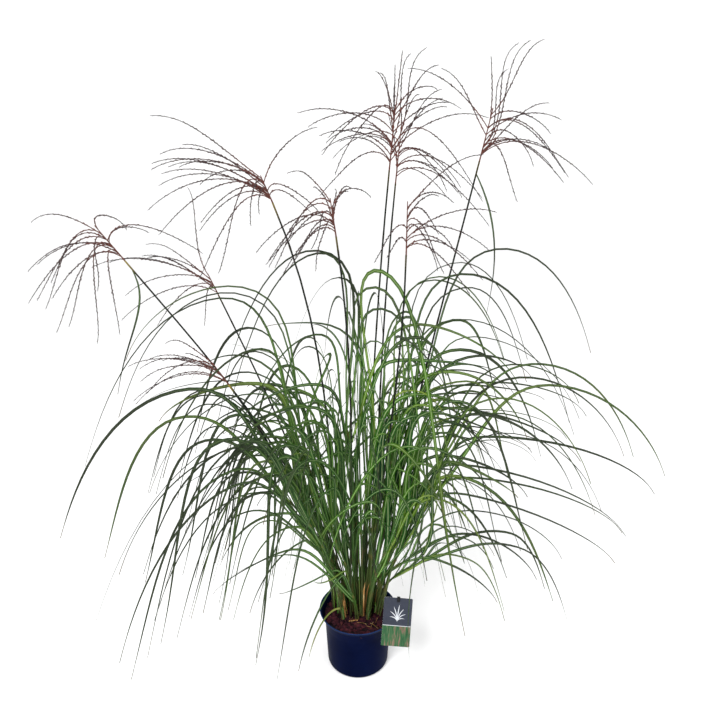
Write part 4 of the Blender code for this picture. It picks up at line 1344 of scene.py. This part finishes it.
def make_label(card_finish, ink_finish):
    """The card, then a raised print on it: a pale line and a plain sprig of blades."""
    builder = bmesh.new()
    outline = card_outline(LABEL_WIDTH, LABEL_HEIGHT, LABEL_CORNER, 6)
    plate(builder, outline, -LABEL_THICK / 2, LABEL_THICK)
    soften_edges(builder, 0.00018)
    card = mesh_from(builder, radians(60))
    spots = card.uv_layers.new(name="card").data
    for loop in card.loops:
        spot = card.vertices[loop.vertex_index].co
        spots[loop.index].uv = (spot.x / LABEL_WIDTH + 0.5, 1 + spot.z / LABEL_HEIGHT)
    printed = card.attributes.new("printed", "FLOAT", "FACE").data
    for face in card.polygons:
        printed[face.index].value = float(face.normal.y < -0.9)
    builder = bmesh.new()
    side, low = LABEL_WIDTH / 2 - 0.0006, LINE_TOP - LINE_HEIGHT
    line = [(-side, low), (side, low), (side, LINE_TOP), (-side, LINE_TOP)]
    for rim in (line, *(blade_outline(*blade) for blade in SPRIG)):
        plate(builder, rim, -LABEL_THICK / 2 - 0.00016, PRINT_THICK)
    ink = mesh_from(builder)
    for name, mesh, finish, nodes in (
            ("plant_card", card, card_finish, ["plant_label"]), ("card_print", ink, ink_finish, [])):
        mesh.transform(label_frame())
        mesh.materials.append(finish)
        place(name, mesh, "label_card", *nodes)


def make_stake(material):
    """The label's stake: a thin tapered peg with two jaws that pinch the card's top edge."""
    builder = bmesh.new()
    card = LABEL_THICK / 2 + FIT_GAP
    outer, top = card + JAW_THICK, FIT_GAP + JAW_THICK
    outline = [(-outer, -JAW_LENGTH), (-outer, top), (outer, top), (outer, -JAW_LENGTH),
               (card, -JAW_LENGTH), (card, FIT_GAP), (-card, FIT_GAP), (-card, -JAW_LENGTH)]
    plate(builder, outline, -JAW_WIDTH / 2, JAW_WIDTH)
    soften_edges(builder, 0.0003)
    turn = label_frame() @ Matrix.Rotation(pi / 2, 4, "Z")
    bmesh.ops.transform(builder, matrix=turn, verts=builder.verts)
    foot, head = (Vector(spot) for spot in stake_path())
    way = (head - foot).normalized()
    stand = Matrix.Translation(foot) @ way.to_track_quat("Z", "Y").to_matrix().to_4x4()
    length = (head - foot).length
    rings = []
    for share, radius in PEG_RADII:
        angles = [tau * side / PEG_SIDES for side in range(PEG_SIDES)]
        spots = [Vector(round_spot(radius, angle, length * share)) for angle in angles]
        rings.append([builder.verts.new(stand @ spot) for spot in spots])
    bridge(builder, rings, PEG_SIDES)
    builder.faces.new(list(reversed(rings[0])))
    builder.faces.new(rings[-1])
    mesh = mesh_from(builder)
    mesh.materials.append(material)
    place("card_stake", mesh, "stake_plastic", "label_stake")


# ---- Camera, light and backdrop ----

def make_studio():
    scene = bpy.context.scene
    camera = bpy.data.cameras.new("camera")
    camera.sensor_width, camera.lens, camera.shift_x = SENSOR_WIDTH, LENS, SIDE_SHIFT
    viewer = shown("camera", camera)
    viewer.location = CAMERA_AT
    viewer.rotation_euler = (CAMERA_PITCH, 0.0, 0.0)
    bpy.context.scene.camera = viewer
    for name, spot, size, power in LAMPS:
        lamp = bpy.data.lights.new(name, "AREA")
        lamp.size, lamp.energy = size, power
        light = shown(name, lamp)
        light.location = spot
        light.rotation_euler = (Vector(LIT_POINT) - Vector(spot)).to_track_quat("-Z", "Y").to_euler()
    scene.world = bpy.data.worlds.new("studio")
    scene.world.use_nodes = True
    wires = Wires(scene.world.node_tree)
    sky = wires.tree.nodes["Background"].inputs
    sky["Color"].default_value = (1.0, 1.0, 1.0, 1.0)
    seen = wires.add("ShaderNodeLightPath").outputs["Is Camera Ray"]
    wires.tree.links.new(wires.mixed(seen, SKY_EXTRA_SEEN, SKY_STRENGTH), sky["Strength"])
    scene.view_settings.view_transform = "Standard"
    sweep = [(0.0, 0.0), (FLOOR_REACH / 2, 0.0), (FLOOR_REACH, 0.0)]
    for angle in np.linspace(0.1, pi / 2, 10):
        sweep.append((FLOOR_REACH + FLOOR_CURVE * sin(angle), FLOOR_CURVE - FLOOR_CURVE * cos(angle)))
    builder = turned([*sweep, (FLOOR_REACH + FLOOR_CURVE, BACKDROP_TOP)], 96)
    bmesh.ops.recalc_face_normals(builder, faces=builder.faces)
    builder.faces.ensure_lookup_table()
    if builder.faces[0].normal.z < 0:
        bmesh.ops.reverse_faces(builder, faces=builder.faces)
    mesh = bpy.data.meshes.new("floor")
    builder.to_mesh(mesh)
    builder.free()
    mesh.shade_smooth()
    wires = Finish("studio_floor")
    soft = wires.noise(0.7, 2.0)["Fac"]
    wires.tree.links.new(wires.blend(soft, *FLOOR_WHITES), wires.shader.inputs["Base Color"])
    wires.shader.inputs["Roughness"].default_value = 0.9
    mesh.materials.append(wires.material)
    shown("floor", mesh)


# ---- Everything together ----

def main():
    make_studio()
    fibre, mottle, dust = streaks_group(), mottle_group(), dust_group()
    grass, head, bark = grass_tree(), plume_tree(), bark_tree()
    leaf = leaf_finish(fibre)
    culm = cane_finish("culm", fibre, *CULM_COLOURS)
    stem = cane_finish("flower_stem", fibre, *STEM_COLOURS)
    stalk = raceme_finish("flower_stalk", fibre, *STALK_COLOURS)
    spikelet = raceme_finish("flower_plume", fibre, *SPIKELET_COLOURS)
    make_pot(pot_finish(mottle, dust))
    bed = bark_finish("bark_bed", mottle, *BED_COLOURS)
    make_medium(bark, bed, bark_finish("bark_medium", mottle, *CHIP_COLOURS))
    make_label(label_finish(mottle, dust), plain_finish("card_ink", mottle, *INK, 0.35, 0.5))
    make_stake(plain_finish("stake_plastic", mottle, *BLACK_PLASTIC, 0.36, 0.52))
    make_litter(grass, leaf)
    flowers, stems, plumes, shoots = grow_clump()
    random = np.random.default_rng(LOOKS_SEED)
    keep_off = fixed_things()
    tuft_values = {"Blade Finish": leaf, "Cane Finish": culm}
    for shoot in shoots:
        name = shoot["name"].replace("grass_tuft", "leafy_tuft")
        lines = tuft_lines(shoot, keep_off, random)
        grow_piece(name, lines.mesh(), grass, tuft_values, "grass_leaf", shoot["name"])
    stem_values = {"Blade Finish": leaf, "Cane Finish": stem, "Joint Spacing": STEM_JOINTS}
    for number, (flower, grown_stem, racemes) in enumerate(zip(flowers, stems, plumes), 1):
        name = f"tall_stem_{number}"
        lines = stem_lines(grown_stem, NECK_WARMTH[number - 1], random)
        grow_piece(name, lines.mesh(), grass, stem_values, "flower_stem", f"flower_stem_{number}")
        name = f"seed_head_{number}"
        lines = plume_lines(flower, racemes, RACEMES[number - 1], random)
        values = {"Stalk Finish": stalk, "Spikelet Finish": spikelet, "Seed": number}
        grow_piece(name, lines.mesh(), head, values, "flower_plume", f"flower_plume_{number}")


main()
